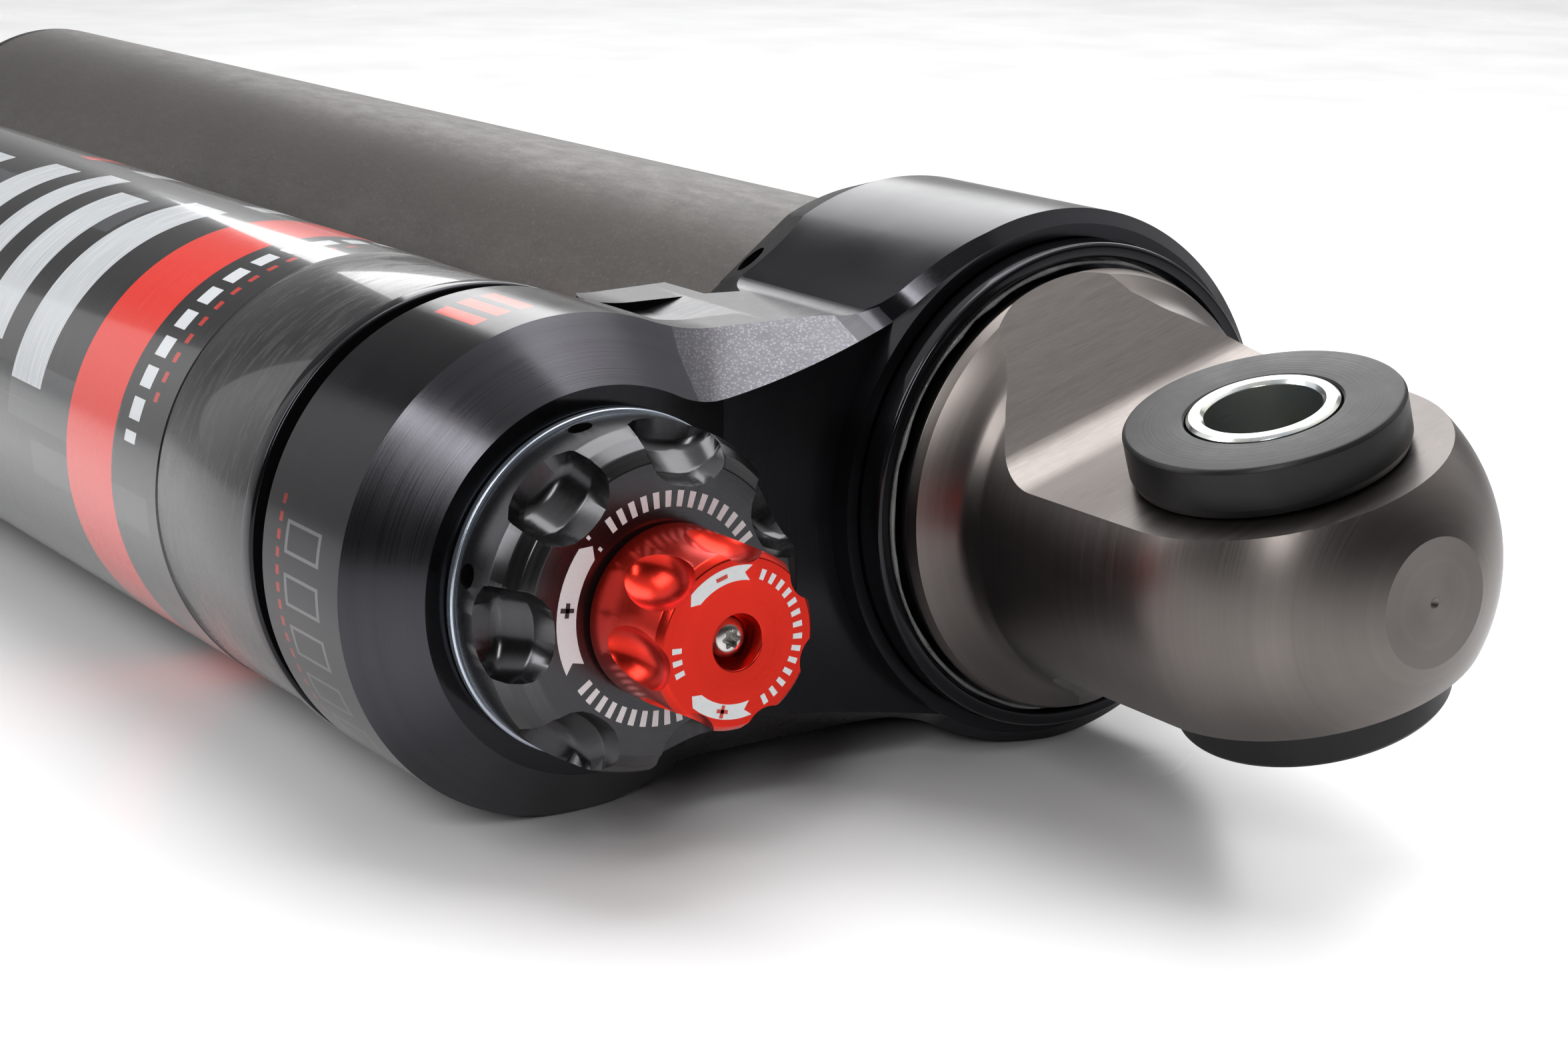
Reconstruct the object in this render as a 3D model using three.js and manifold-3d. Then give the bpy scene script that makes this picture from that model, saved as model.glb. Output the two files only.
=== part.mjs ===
// Piggyback-reservoir off-road shock absorber with a two-knob compression adjuster, fully extended,
// lying on the two rings of its bridge. Millimetres. +X runs along the shock towards the upper eye,
// +Y from the reservoir to the body, +Z up. The origin is on the floor, midway between the two eyes.
import * as THREE from 'three';
import { mergeVertices } from 'three/addons/utils/BufferGeometryUtils.js';
import Module from 'manifold-3d';

const wasm = await Module();
wasm.setup();

// ---- driving dimensions -------------------------------------------------------------------------
// A station is a distance behind the upper eye's centre, measured along the shock.
const extendedLength = 810; // eye centre to eye centre
const travel = 280;
const gap = 0.3; // between pieces that touch

const bodyRingRadius = 40.7;
const reservoirRingRadius = 35.8;
const axisSpacingY = 76.32; // between the body's axis and the reservoir's, across the floor
const eyeTilt = THREE.MathUtils.degToRad(16.41); // of the eye pins, from upright towards the reservoir

const ballRadius = 28.3;
const ballEndFace = 26.9; // flat end of the ball, from the eye's centre
const eyeFlat = 14.8; // half width of the eye across its flats
const eyeBore = 14.6;
const bushingFlangeRadius = 19;
const bushingFace = 22.2; // outer face of a bushing flange, from the eye's centre
const sleeveRadius = 10.36;
const sleeveBore = 7.94; // for a 5/8 in bolt
const sleeveHalf = 22.5;

const tubeRadius = 33.1;
const tubeBore = 29.8;
const tubeEnd = 449.5;
const shaftRadius = 11.1;
const studRadius = 6.3; // threaded end of the shaft, inside the piston

const bridgeFront = 49.1; // front face of the body ring
const bridgeRear = 97;
const reservoirFront = 53; // front face of the reservoir ring
const reservoirRadius = 34.9;
const reservoirBore = 30.2;
const reservoirEnd = 312;
const webTop = 26.6; // above the body's axis
const webBottom = -36;
const webRear = 95;

const fine = 26; // sides of a large round piece
const medium = 18;
const small = 10;

// ---- places derived from them -------------------------------------------------------------------
const upperEyeX = extendedLength / 2;
const bodyY = (axisSpacingY + reservoirRingRadius - bodyRingRadius) / 2;
const reservoirY = bodyY - axisSpacingY;
const bodyAxis = [upperEyeX, bodyY, bodyRingRadius];
const reservoirAxis = [upperEyeX, reservoirY, reservoirRingRadius];
const reservoirDrop = reservoirRingRadius - bodyRingRadius;

// ---- materials ----------------------------------------------------------------------------------
function material(color, metalness, roughness) {
  return new THREE.MeshStandardMaterial({ color, metalness, roughness });
}
const blackAnodise = material(0x17171a, 0.8, 0.35);
const greyAnodise = material(0x8a827d, 0.8, 0.45);
const gunmetal = material(0x3b3e45, 0.8, 0.35);
const redAnodise = material(0xb3121c, 0.8, 0.3);
const steel = material(0xb9bcc2, 1, 0.25);
const zinc = material(0xc6c8c4, 1, 0.3);
const chrome = material(0xdfe1e4, 1, 0.08);
const tubePaint = material(0x4a4946, 0.3, 0.6);
const urethane = material(0x1b1b1d, 0, 0.55);
const rubber = material(0x111112, 0, 0.8);
const clearSeal = material(0xd8d8d2, 0, 0.3);
const bronze = material(0x9c7a45, 1, 0.4);
const alloy = material(0xa9adb2, 0.9, 0.35);

// ---- geometry helpers ---------------------------------------------------------------------------
/** A closed manifold-3d solid from a three.js geometry: vertices shared, slivers out, faces outwards. */
function solid(geometry) {
  const bare = geometry.clone();
  bare.deleteAttribute('normal');
  bare.deleteAttribute('uv');
  const merged = mergeVertices(bare, 1e-4);
  const position = merged.getAttribute('position').array;
  const index = merged.getIndex().array;
  const corner = [new THREE.Vector3(), new THREE.Vector3(), new THREE.Vector3()];
  const kept = [];
  let volume = 0;
  for (let i = 0; i < index.length; i += 3) {
    const [a, b, c] = [index[i], index[i + 1], index[i + 2]];
    if (a === b || b === c || c === a) continue;
    [a, b, c].forEach((v, k) => corner[k].fromArray(position, 3 * v));
    volume += corner[0].dot(corner[1].clone().cross(corner[2]));
    kept.push(a, b, c);
  }
  if (volume < 0) kept.reverse();
  const mesh = new wasm.Mesh({
    numProp: 3,
    vertProperties: new Float32Array(position),
    triVerts: new Uint32Array(kept),
  });
  return new wasm.Manifold(mesh);
}

/** A three.js geometry from a manifold-3d solid. */
function geometryOf(manifold) {
  const mesh = manifold.getMesh();
  const geometry = new THREE.BufferGeometry();
  geometry.setAttribute('position', new THREE.BufferAttribute(mesh.vertProperties, 3));
  geometry.setIndex(new THREE.BufferAttribute(mesh.triVerts, 1));
  return geometry;
}

/** A body of revolution about X. Its profile is a list of [station, radius]. */
function revolve(profile, sides = fine) {
  const points = profile.map(([station, radius]) => new THREE.Vector2(radius, -station));
  const geometry = new THREE.LatheGeometry(points, sides);
  geometry.rotateZ(-Math.PI / 2);
  return solid(geometry);
}

/** A solid of revolution: the outline runs from one end's centre to the other's. */
function turned(outline, sides = fine) {
  const first = outline[0];
  const last = outline[outline.length - 1];
  return revolve([[first[0], 0], ...outline, [last[0], 0]], sides);
}

/** A plain ring between two stations and two radii. */
function ring(front, rear, inner, outer, sides = fine) {
  const profile = [[front, inner], [front, outer], [rear, outer], [rear, inner], [front, inner]];
  return revolve(profile, sides);
}

/** A hexagonal nut with a round bore. */
function hexNut(front, rear, bore, cornerRadius) {
  const blank = turned([[front, cornerRadius], [rear, cornerRadius]], 6);
  return blank.subtract(turned([[front - 1, bore], [rear + 1, bore]], medium));
}

/** A round-section ring centred on a station, its section a polygon. */
function oRing(station, inner, outer, sides = fine) {
  const middle = (inner + outer) / 2;
  const section = (outer - inner) / 2;
  const sectionSides = 4;
  const profile = [];
  for (let i = 0; i <= sectionSides; i++) {
    const angle = (i / sectionSides) * 2 * Math.PI;
    profile.push([station + section * Math.cos(angle), middle + section * Math.sin(angle)]);
  }
  return revolve(profile, sides);
}

/** A cylinder along the given axis letter, centred on a point. */
function cylinder(axis, radius, length, centre, sides = medium) {
  const geometry = new THREE.CylinderGeometry(radius, radius, length, sides);
  if (axis === 'x') geometry.rotateZ(Math.PI / 2);
  if (axis === 'z') geometry.rotateX(Math.PI / 2);
  geometry.translate(...centre);
  return solid(geometry);
}

/** Points of an arc in the plane, from one angle to another in degrees. */
function arc(centreX, centreY, radius, fromDegrees, toDegrees, steps) {
  const points = [];
  for (let i = 0; i <= steps; i++) {
    const angle = THREE.MathUtils.degToRad(fromDegrees + ((toDegrees - fromDegrees) * i) / steps);
    points.push([centreX + radius * Math.cos(angle), centreY + radius * Math.sin(angle)]);
  }
  return points;
}

const shock = new THREE.Group();

/** Adds a named sub-part. Its solid is placed by a position and, for the eyes, a rotation. */
function add(name, manifold, look, place = bodyAxis, turn = [0, 0, 0]) {
  const mesh = new THREE.Mesh(geometryOf(manifold), look);
  mesh.name = name;
  mesh.position.set(...place);
  mesh.rotation.set(...turn);
  shock.add(mesh);
}

// ---- eyes: local X points out of the shock's end, local Z along the pin -----------------------------
/** The milled relief over one flat: a floor, a fillet and a wall that climbs away from the eye. */
function flatCutter() {
  const wallAngle = 48.8;
  const fillet = 10;
  const cornerX = -27.1;
  const tangent = fillet * Math.tan(THREE.MathUtils.degToRad(wallAngle / 2));
  const far = 60;
  const rise = Math.tan(THREE.MathUtils.degToRad(wallAngle));
  const outline = [[far, eyeFlat], [far, far]];
  outline.push([cornerX - (far - eyeFlat) / rise, far]);
  outline.push(...arc(cornerX + tangent, eyeFlat + fillet, fillet, 270 - wallAngle, 270, 5));
  const shape = new THREE.Shape(outline.map(([x, y]) => new THREE.Vector2(x, y)));
  const depth = 90;
  const geometry = new THREE.ExtrudeGeometry(shape, { depth, bevelEnabled: false });
  geometry.rotateX(Math.PI / 2);
  geometry.translate(0, depth / 2, 0);
  return geometry;
}

/** A turned eye blank with both flats milled and the pin bore drilled. */
function eye(outline) {
  const upperCut = flatCutter();
  const lowerCut = flatCutter();
  lowerCut.rotateX(Math.PI);
  const bore = cylinder('z', eyeBore, 80, [0, 0, 0], 24);
  return turned(outline, 32).subtract(solid(upperCut)).subtract(solid(lowerCut)).subtract(bore);
}

/** Outline of the ball end from its flat face back to its greatest radius. */
function ballOutline() {
  const start = THREE.MathUtils.radToDeg(Math.acos(ballEndFace / ballRadius));
  return arc(0, 0, ballRadius, start, 90, 5).map(([x, r]) => [-x, r]);
}

const capShoulder = 44.5; // rear of the shoulder that stands against the bridge
const capNeckRadius = 30.7;
const capNeckEnd = 74;
const upperEyeOutline = [
  ...ballOutline(),
  [32.5, 28],
  [35.5, 28.5],
  [38.5, 30.2],
  [41, 32.4],
  [42.6, 33],
  [capShoulder, 32.4],
  [46.5, capNeckRadius],
  [capNeckEnd, capNeckRadius],
];
const wrenchRecess = cylinder('x', 4.5, 24, [-capNeckEnd, 0, 0], small);
const upperEye = eye(upperEyeOutline).subtract(wrenchRecess);
add('upper_eye_cap', upperEye, greyAnodise, bodyAxis, [eyeTilt, 0, 0]);

const lowerTangEnd = 38.4; // from the lower eye's centre
const socketDepth = 18;
const lowerEyeOutline = [
  ...ballOutline(),
  [12, 25.6],
  [20, 22.2],
  [27, 19.6],
  [lowerTangEnd - 1.5, 18.5],
  [lowerTangEnd, 17],
];
const shaftSocket = cylinder('x', shaftRadius + gap, 2 * socketDepth, [-lowerTangEnd, 0, 0]);
const lowerEye = eye(lowerEyeOutline).subtract(shaftSocket);
const lowerEyePlace = [-upperEyeX, bodyY, bodyRingRadius];
const eyes = [
  { name: 'upper', place: bodyAxis },
  { name: 'lower', place: lowerEyePlace },
];

/** One half of a flanged bushing, above the eye's middle plane. */
function bushing() {
  const bore = sleeveRadius + gap;
  const barrel = eyeBore - gap;
  const flangeBase = eyeFlat + gap;
  const profile = [
    [gap, bore],
    [gap, barrel],
    [flangeBase, barrel],
    [flangeBase, bushingFlangeRadius - 0.5],
    [flangeBase + 1.2, bushingFlangeRadius],
    [bushingFace - 0.7, bushingFlangeRadius],
    [bushingFace, bushingFlangeRadius - 0.7],
    [bushingFace, bore],
    [gap, bore],
  ];
  return revolve(profile, 24);
}

const toUpright = new THREE.Matrix4().makeRotationY(Math.PI / 2);
const toUpsideDown = new THREE.Matrix4().makeRotationY(-Math.PI / 2);
for (const { name, place } of eyes) {
  const upperHalf = bushing().transform(toUpright.elements);
  const lowerHalf = bushing().transform(toUpsideDown.elements);
  const sleeve = ring(-sleeveHalf, sleeveHalf, sleeveBore, sleeveRadius, 20).transform(toUpright.elements);
  add(`${name}_bushing_top`, upperHalf, urethane, place, [eyeTilt, 0, 0]);
  add(`${name}_bushing_bottom`, lowerHalf, urethane, place, [eyeTilt, 0, 0]);
  add(`${name}_sleeve`, sleeve, zinc, place, [eyeTilt, 0, 0]);
}
add('lower_eye', lowerEye, greyAnodise, lowerEyePlace, [eyeTilt, Math.PI, 0]);

// ---- bridge: two rings and a web, in the body axis's frame --------------------------------------------
const capBore = 31; // of the body ring, for the eye cap's neck
const tubeSeat = 81.7; // shoulder that the body tube and the reservoir tube stop against
const tubePocket = tubeRadius + gap;
const reservoirNeck = 31.6; // outside of the reservoir tube where it enters the bridge
const valveChamber = 24;
const housingBore = 18.3;
const chamberFront = 66;
const neckRear = 89;
const frontChamfer = 8.5;

const bodyRing = turned([
  [bridgeFront, 38.6],
  [bridgeFront + 1.4, bodyRingRadius],
  [bridgeRear - 6.8, bodyRingRadius],
  [bridgeRear, 38.3],
]);
const reservoirRing = turned([
  [reservoirFront, reservoirRingRadius - frontChamfer - 0.4],
  [reservoirFront + frontChamfer, reservoirRingRadius],
  [84.8, reservoirRingRadius],
  [84.8, 33.6],
  [neckRear, 33.6],
]).translate([0, -axisSpacingY, reservoirDrop]);

/** The web's side view with its front edges chamfered, extruded from one axis to the other. Its rear
 *  is relieved round the reservoir. */
function webBlock() {
  const shape = new THREE.Shape([
    new THREE.Vector2(-webRear, webBottom),
    new THREE.Vector2(-reservoirFront - frontChamfer, webBottom),
    new THREE.Vector2(-reservoirFront, webBottom + frontChamfer),
    new THREE.Vector2(-reservoirFront, webTop - frontChamfer),
    new THREE.Vector2(-reservoirFront - frontChamfer, webTop),
    new THREE.Vector2(-webRear, webTop),
  ]);
  const geometry = new THREE.ExtrudeGeometry(shape, { depth: axisSpacingY, bevelEnabled: false });
  geometry.rotateX(Math.PI / 2);
  const relief = turned([[84.8, reservoirRingRadius + gap], [webRear + 1, reservoirRingRadius + gap]]);
  return solid(geometry).subtract(relief.translate([0, -axisSpacingY, reservoirDrop]));
}

const bodyBores = turned([
  [bridgeFront - 1, capBore],
  [tubeSeat, capBore],
  [tubeSeat, tubePocket],
  [bridgeRear + 1, tubePocket],
]);
const reservoirBores = turned([
  [reservoirFront - 1, housingBore],
  [chamberFront, housingBore],
  [chamberFront, valveChamber],
  [tubeSeat, valveChamber],
  [tubeSeat, reservoirNeck + gap],
  [neckRear + 1, reservoirNeck + gap],
]).translate([0, -axisSpacingY, reservoirDrop]);
const crossover = cylinder('y', 4, axisSpacingY - 40, [-77, -axisSpacingY / 2, -2.5], small);
const drilledHoleAngle = 136.5; // degrees from +Y towards +Z
const drilledHole = cylinder('z', 2, 8, [-93.5, 0, 40], small).rotate([drilledHoleAngle - 90, 0, 0]);
const bridge = bodyRing
  .add(reservoirRing)
  .add(webBlock())
  .subtract(bodyBores)
  .subtract(reservoirBores)
  .subtract(crossover)
  .subtract(drilledHole);
add('bridge', bridge, blackAnodise);

const lockRingOuter = 36.5;
const lockRingInner = 34.2;
const lockRing = ring(capShoulder, bridgeFront - gap, lockRingInner, lockRingOuter);
add('cap_lock_ring', lockRing, blackAnodise);
add('cap_seal_ring', oRing(capShoulder + 0.9, 33.2, 33.9), clearSeal);

// ---- body tube and its seal head -------------------------------------------------------------------
add('body_tube', ring(tubeSeat + gap, tubeEnd, tubeBore, tubeRadius), tubePaint);

const headFront = 408;
const headRear = 444;
const headRadius = tubeBore - gap;
const shaftClear = shaftRadius + gap;
const guideRadius = 13.5; // pocket of the shaft bushing
const sealPocket = 17;
const headGroove = 418;
const grooveHalf = 2;
const grooveFloor = 26.8;
const sealHead = revolve([
  [headFront, shaftClear + 0.3],
  [headFront, headRadius],
  [headGroove - grooveHalf, headRadius],
  [headGroove - grooveHalf, grooveFloor],
  [headGroove + grooveHalf, grooveFloor],
  [headGroove + grooveHalf, headRadius],
  [headRear, headRadius],
  [headRear, sealPocket],
  [435, sealPocket],
  [435, guideRadius],
  [412, guideRadius],
  [412, shaftClear + 0.3],
  [headFront, shaftClear + 0.3],
]);
add('seal_head', sealHead, blackAnodise);
add('seal_head_o_ring', oRing(headGroove, grooveFloor + gap, headRadius), rubber);
add('shaft_guide_bushing', ring(412 + gap, 435, shaftClear, guideRadius - gap, medium), bronze);
const shaftSeal = revolve([
  [435 + gap, shaftClear + 0.6],
  [435 + gap, sealPocket - gap],
  [443.5, sealPocket - gap],
  [443.5, shaftClear],
  [440, shaftClear],
  [435 + gap, shaftClear + 0.6],
], medium);
add('shaft_seal', shaftSeal, rubber);
add('seal_head_wire_ring', oRing(445.6, 26.8, headRadius), steel);

const endCapRear = 453;
const wiperPocket = 17.2;
const endCap = revolve([
  [447.2, wiperPocket],
  [447.2, headRadius],
  [tubeEnd + gap, headRadius],
  [tubeEnd + gap, tubeRadius],
  [endCapRear - 1, tubeRadius],
  [endCapRear, tubeRadius - 1],
  [endCapRear, wiperPocket],
  [447.2, wiperPocket],
]);
add('body_end_cap', endCap, blackAnodise);
const wiper = revolve([
  [447.4, shaftClear + 1],
  [447.4, wiperPocket - gap],
  [endCapRear, wiperPocket - gap],
  [endCapRear + 0.4, shaftClear + 1.6],
  [endCapRear - 0.2, shaftClear],
  [447.4, shaftClear + 1],
], medium);
add('shaft_wiper', wiper, rubber);

// ---- shaft, piston and valving ---------------------------------------------------------------------
const shaftShoulder = 404;
const shaftEnd = extendedLength - lowerTangEnd + socketDepth - gap;
const shaft = turned([
  [361, studRadius - 0.8],
  [361.8, studRadius],
  [shaftShoulder, studRadius],
  [shaftShoulder, shaftRadius],
  [shaftEnd, shaftRadius],
], 24);
add('shaft', shaft, chrome);

const studClear = studRadius + gap;
const pistonFront = 378.5;
const pistonRear = 393.5;
const pistonRadius = 29.2;
const bandFloor = 27.4;
const pistonBlank = revolve([
  [pistonFront, studClear],
  [pistonFront, pistonRadius - 1],
  [pistonFront + 1, pistonRadius],
  [381.5, pistonRadius],
  [381.5, bandFloor],
  [390.5, bandFloor],
  [390.5, pistonRadius],
  [pistonRear - 1, pistonRadius],
  [pistonRear, pistonRadius - 1],
  [pistonRear, studClear],
  [pistonFront, studClear],
]);
const portCount = 6;
const portCircle = 18;
let piston = pistonBlank;
for (let i = 0; i < portCount; i++) {
  const angle = (2 * Math.PI * i) / portCount;
  const middle = -(pistonFront + pistonRear) / 2;
  const centre = [middle, portCircle * Math.cos(angle), portCircle * Math.sin(angle)];
  piston = piston.subtract(cylinder('x', 3.2, 30, centre, 8));
}
add('main_piston', piston, bronze);
add('piston_wear_band', ring(381.5 + gap, 390.5 - gap, bandFloor + gap, tubeBore - 0.2), urethane);

/** A tapered stack of washers: each step is one group of shims. */
function shimStack(seatStation, direction, radii, thickness) {
  const profile = [[seatStation, studClear]];
  radii.forEach((radius, i) => {
    profile.push([seatStation + direction * thickness * i, radius]);
    profile.push([seatStation + direction * thickness * (i + 1), radius]);
  });
  const last = seatStation + direction * thickness * radii.length;
  profile.push([last, studClear], [seatStation, studClear]);
  return revolve(profile, medium);
}
const shimRadii = [24, 21, 18, 15];
add('compression_shims', shimStack(pistonFront - gap, -1, shimRadii, 1.2), steel);
add('rebound_shims', shimStack(pistonRear + gap, 1, shimRadii, 1.2), steel);
add('top_out_spacer', ring(399 - gap, shaftShoulder - gap, studClear, 15, medium), alloy);
add('piston_nut', hexNut(362.5, 373, studClear, 11), steel);

const bumpFront = endCapRear + travel + 1;
const bumpLength = 26;
const bumpRear = bumpFront + bumpLength;
const bumpStop = revolve([
  [bumpFront, shaftClear],
  [bumpFront, 16],
  [bumpFront + 3, 18.5],
  [bumpFront + 9, 19],
  [bumpFront + 12, 17],
  [bumpFront + 15, 19.5],
  [bumpRear - 3, 21],
  [bumpRear, 20.5],
  [bumpRear, shaftClear],
  [bumpFront, shaftClear],
]);
add('bump_stop', bumpStop, urethane);
const cupRear = bumpRear + gap + 2.7;
const cup = revolve([
  [bumpRear + gap, shaftClear],
  [bumpRear + gap, 21.5],
  [bumpRear - 3, 21.8],
  [bumpRear - 3, 24],
  [cupRear, 23.5],
  [cupRear, shaftClear],
  [bumpRear + gap, shaftClear],
]);
add('bump_stop_cup', cup, blackAnodise);
const jamNutFront = cupRear + gap;
const jamNutRear = extendedLength - lowerTangEnd - gap;
add('shaft_jam_nut', hexNut(jamNutFront, jamNutRear, shaftClear, 17.5), zinc);

// ---- reservoir --------------------------------------------------------------------------------------
const lockFront = neckRear + gap;
const tubeShoulder = 93;
const reservoirTube = revolve([
  [tubeSeat + gap, reservoirBore],
  [tubeSeat + gap, reservoirNeck],
  [tubeShoulder, reservoirNeck],
  [tubeShoulder, reservoirRadius],
  [reservoirEnd - 1, reservoirRadius],
  [reservoirEnd, reservoirRadius - 1],
  [reservoirEnd, reservoirBore],
  [tubeSeat + gap, reservoirBore],
]);
add('reservoir_tube', reservoirTube, blackAnodise, reservoirAxis);
const reservoirLock = ring(lockFront, tubeShoulder - gap, reservoirNeck + gap, reservoirRingRadius - 0.2);
add('reservoir_lock_ring', reservoirLock, blackAnodise, reservoirAxis);

const endPlugFront = 290;
const endPlugRear = 306;
const plugRadius = reservoirBore - gap;
const plugGroove = 296;
const plugGrooveFloor = 27.3;
const valvePocket = 8;
const endPlug = revolve([
  [endPlugFront, 4.8],
  [endPlugFront, plugRadius],
  [plugGroove - grooveHalf, plugRadius],
  [plugGroove - grooveHalf, plugGrooveFloor],
  [plugGroove + grooveHalf, plugGrooveFloor],
  [plugGroove + grooveHalf, plugRadius],
  [endPlugRear, plugRadius],
  [endPlugRear, 20],
  [301, 18],
  [301, valvePocket],
  [299, valvePocket],
  [299, 4.8],
  [endPlugFront, 4.8],
]);
add('reservoir_end_cap', endPlug, blackAnodise, reservoirAxis);
add('reservoir_end_o_ring', oRing(plugGroove, plugGrooveFloor + gap, plugRadius), rubber, reservoirAxis);
add('reservoir_wire_ring', oRing(endPlugRear + 1.8, 27, plugRadius), steel, reservoirAxis);
const valve = turned([
  [287, 2.6],
  [288.2, 4.5],
  [299 + gap, 4.5],
  [299 + gap, 7],
  [302.5, 7],
  [302.5, 3.9],
  [308, 3.9],
  [308, 2.5],
], small);
add('gas_valve', valve, zinc, reservoirAxis);
const valveCap = revolve([
  [303, 4.2],
  [303, 6.2],
  [311, 6.2],
  [311.8, 5.4],
  [311.8, 0],
  [308.4, 0],
  [308.4, 4.2],
  [303, 4.2],
], small);
add('gas_valve_cap', valveCap, gunmetal, reservoirAxis);

const floatFront = 150;
const floatRear = 174;
const floatRadius = reservoirBore - gap;
const floatWaist = floatRadius - 2.4;
const floatingPiston = turned([
  [floatFront + 8, 23],
  [floatFront, 25],
  [floatFront, floatRadius],
  [155, floatRadius],
  [155, floatWaist],
  [159, floatWaist],
  [159, floatRadius],
  [163, floatRadius],
  [163, floatWaist],
  [170, floatWaist],
  [170, floatRadius],
  [floatRear, floatRadius],
]);
add('floating_piston', floatingPiston, alloy, reservoirAxis);
add('floating_piston_o_ring', oRing(157, floatWaist + gap, floatRadius + 0.1), rubber, reservoirAxis);
const floatBand = ring(163 + gap, 170 - gap, floatWaist + gap, floatRadius + 0.1);
add('floating_piston_band', floatBand, urethane, reservoirAxis);

// ---- compression adjuster, in front of the reservoir ---------------------------------------------------
const stemFront = 43.6;
const stemRadius = 9;
const flangeRadius = 24.4;
const flangeFront = 51.3;
const flangeRear = reservoirFront - gap;
const barrelRadius = 18;
const studEnd = 82;
const valveStud = 4.6;
const needleBore = 2.8;
const housingGroove = 59.5;
const housingGrooveFloor = 15.6;
const housing = revolve([
  [stemFront, needleBore],
  [stemFront, stemRadius],
  [flangeFront, stemRadius],
  [flangeFront, flangeRadius],
  [flangeRear, flangeRadius],
  [flangeRear, barrelRadius],
  [housingGroove - 1.6, barrelRadius],
  [housingGroove - 1.6, housingGrooveFloor],
  [housingGroove + 1.6, housingGrooveFloor],
  [housingGroove + 1.6, barrelRadius],
  [chamberFront, barrelRadius],
  [chamberFront, valveStud],
  [studEnd, valveStud],
  [studEnd, needleBore],
  [stemFront, needleBore],
]);
add('adjuster_housing', housing, alloy, reservoirAxis);
const housingSeal = oRing(housingGroove, housingGrooveFloor + gap, barrelRadius);
add('adjuster_o_ring', housingSeal, rubber, reservoirAxis);
const studRing = valveStud + gap;
add('high_speed_collar', ring(68, 70.5, studRing, 12, medium), bronze, reservoirAxis);
const discSpring = revolve([
  [72, studRing],
  [73.6, 11],
  [74.8, 11],
  [73.4, 8],
  [76.4, 11],
  [77.4, 11],
  [74.6, studRing],
  [72, studRing],
], medium);
add('high_speed_disc_spring', discSpring, steel, reservoirAxis);
add('high_speed_valve_plate', ring(78, 80.5, studRing, 15, medium), steel, reservoirAxis);
const needle = turned([
  [47, 2.5],
  [80, 2.5],
  [84.5, 0.8],
], small);
add('low_speed_needle', needle, steel, reservoirAxis);

/** A knob blank with round scallops cut into its rim. */
function scalloped(blank, count, reach, radius, firstDegrees, length, middle) {
  let result = blank;
  for (let i = 0; i < count; i++) {
    const angle = THREE.MathUtils.degToRad(firstDegrees + (360 / count) * i);
    const centre = [-middle, reach * Math.cos(angle), reach * Math.sin(angle)];
    result = result.subtract(cylinder('x', radius, length, centre, small));
  }
  return result;
}

const knobRadius = 24;
const knobFront = 37.5;
const knobRear = flangeFront - gap;
const spindleBore = 4.3;
const knobBlank = revolve([
  [knobFront, spindleBore],
  [knobFront, 20.5],
  [38.6, 22],
  [40.5, 23.2],
  [43, knobRadius],
  [knobRear, knobRadius],
  [knobRear, stemRadius + gap],
  [stemFront - gap, stemRadius + gap],
  [stemFront - gap, spindleBore],
  [knobFront, spindleBore],
]);
const scallopCount = 7;
const scallopRadius = 9;
const scallopReach = 17 + scallopRadius;
const scallopLength = 11;
const knob = scalloped(knobBlank, scallopCount, scallopReach, scallopRadius, 28, scallopLength, knobFront);
const setScrewStation = 48.5;
const setScrewHole = 1.7;
const setScrewAngles = [105, 167];
let drilledKnob = knob;
for (const degrees of setScrewAngles) {
  const hole = cylinder('z', setScrewHole, 18, [-setScrewStation, 0, 19], 12);
  drilledKnob = drilledKnob.subtract(hole.rotate([degrees - 90, 0, 0]));
}
add('high_speed_knob', drilledKnob, gunmetal, reservoirAxis);
setScrewAngles.forEach((degrees, i) => {
  const screw = cylinder('z', setScrewHole - gap, 8, [-setScrewStation, 0, 14], 12);
  add(`knob_set_screw_${i + 1}`, screw.rotate([degrees - 90, 0, 0]), steel, reservoirAxis);
});

const redFront = 19.8;
const redRadius = 12;
const redRear = knobFront - gap;
const screwRecess = 3.73;
const redBlank = revolve([
  [redFront, screwRecess],
  [redFront, redRadius - 0.8],
  [redFront + 0.8, redRadius],
  [redRear, redRadius],
  [redRear, spindleBore - gap],
  [stemFront - 2 * gap, spindleBore - gap],
  [stemFront - 2 * gap, 1.8],
  [24.5, 1.8],
  [24.5, screwRecess],
  [redFront, screwRecess],
], fine);
const redKnob = scalloped(redBlank, 9, redRadius + 1.6, 2.6, 20, 40, 28);
add('low_speed_knob', redKnob, redAnodise, reservoirAxis);
const knobScrew = turned([
  [21.5, 1.9],
  [22, 2.9],
  [24.5 - gap, 2.9],
  [24.5 - gap, 1.5],
  [34, 1.5],
], small);
add('low_speed_knob_screw', knobScrew, steel, reservoirAxis);

export default shock;
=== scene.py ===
"""Piggyback-reservoir off-road shock absorber: detailed pieces, materials, floor, light and camera."""
import math
import random

import bmesh
import bpy
from mathutils import Matrix, Vector


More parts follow.
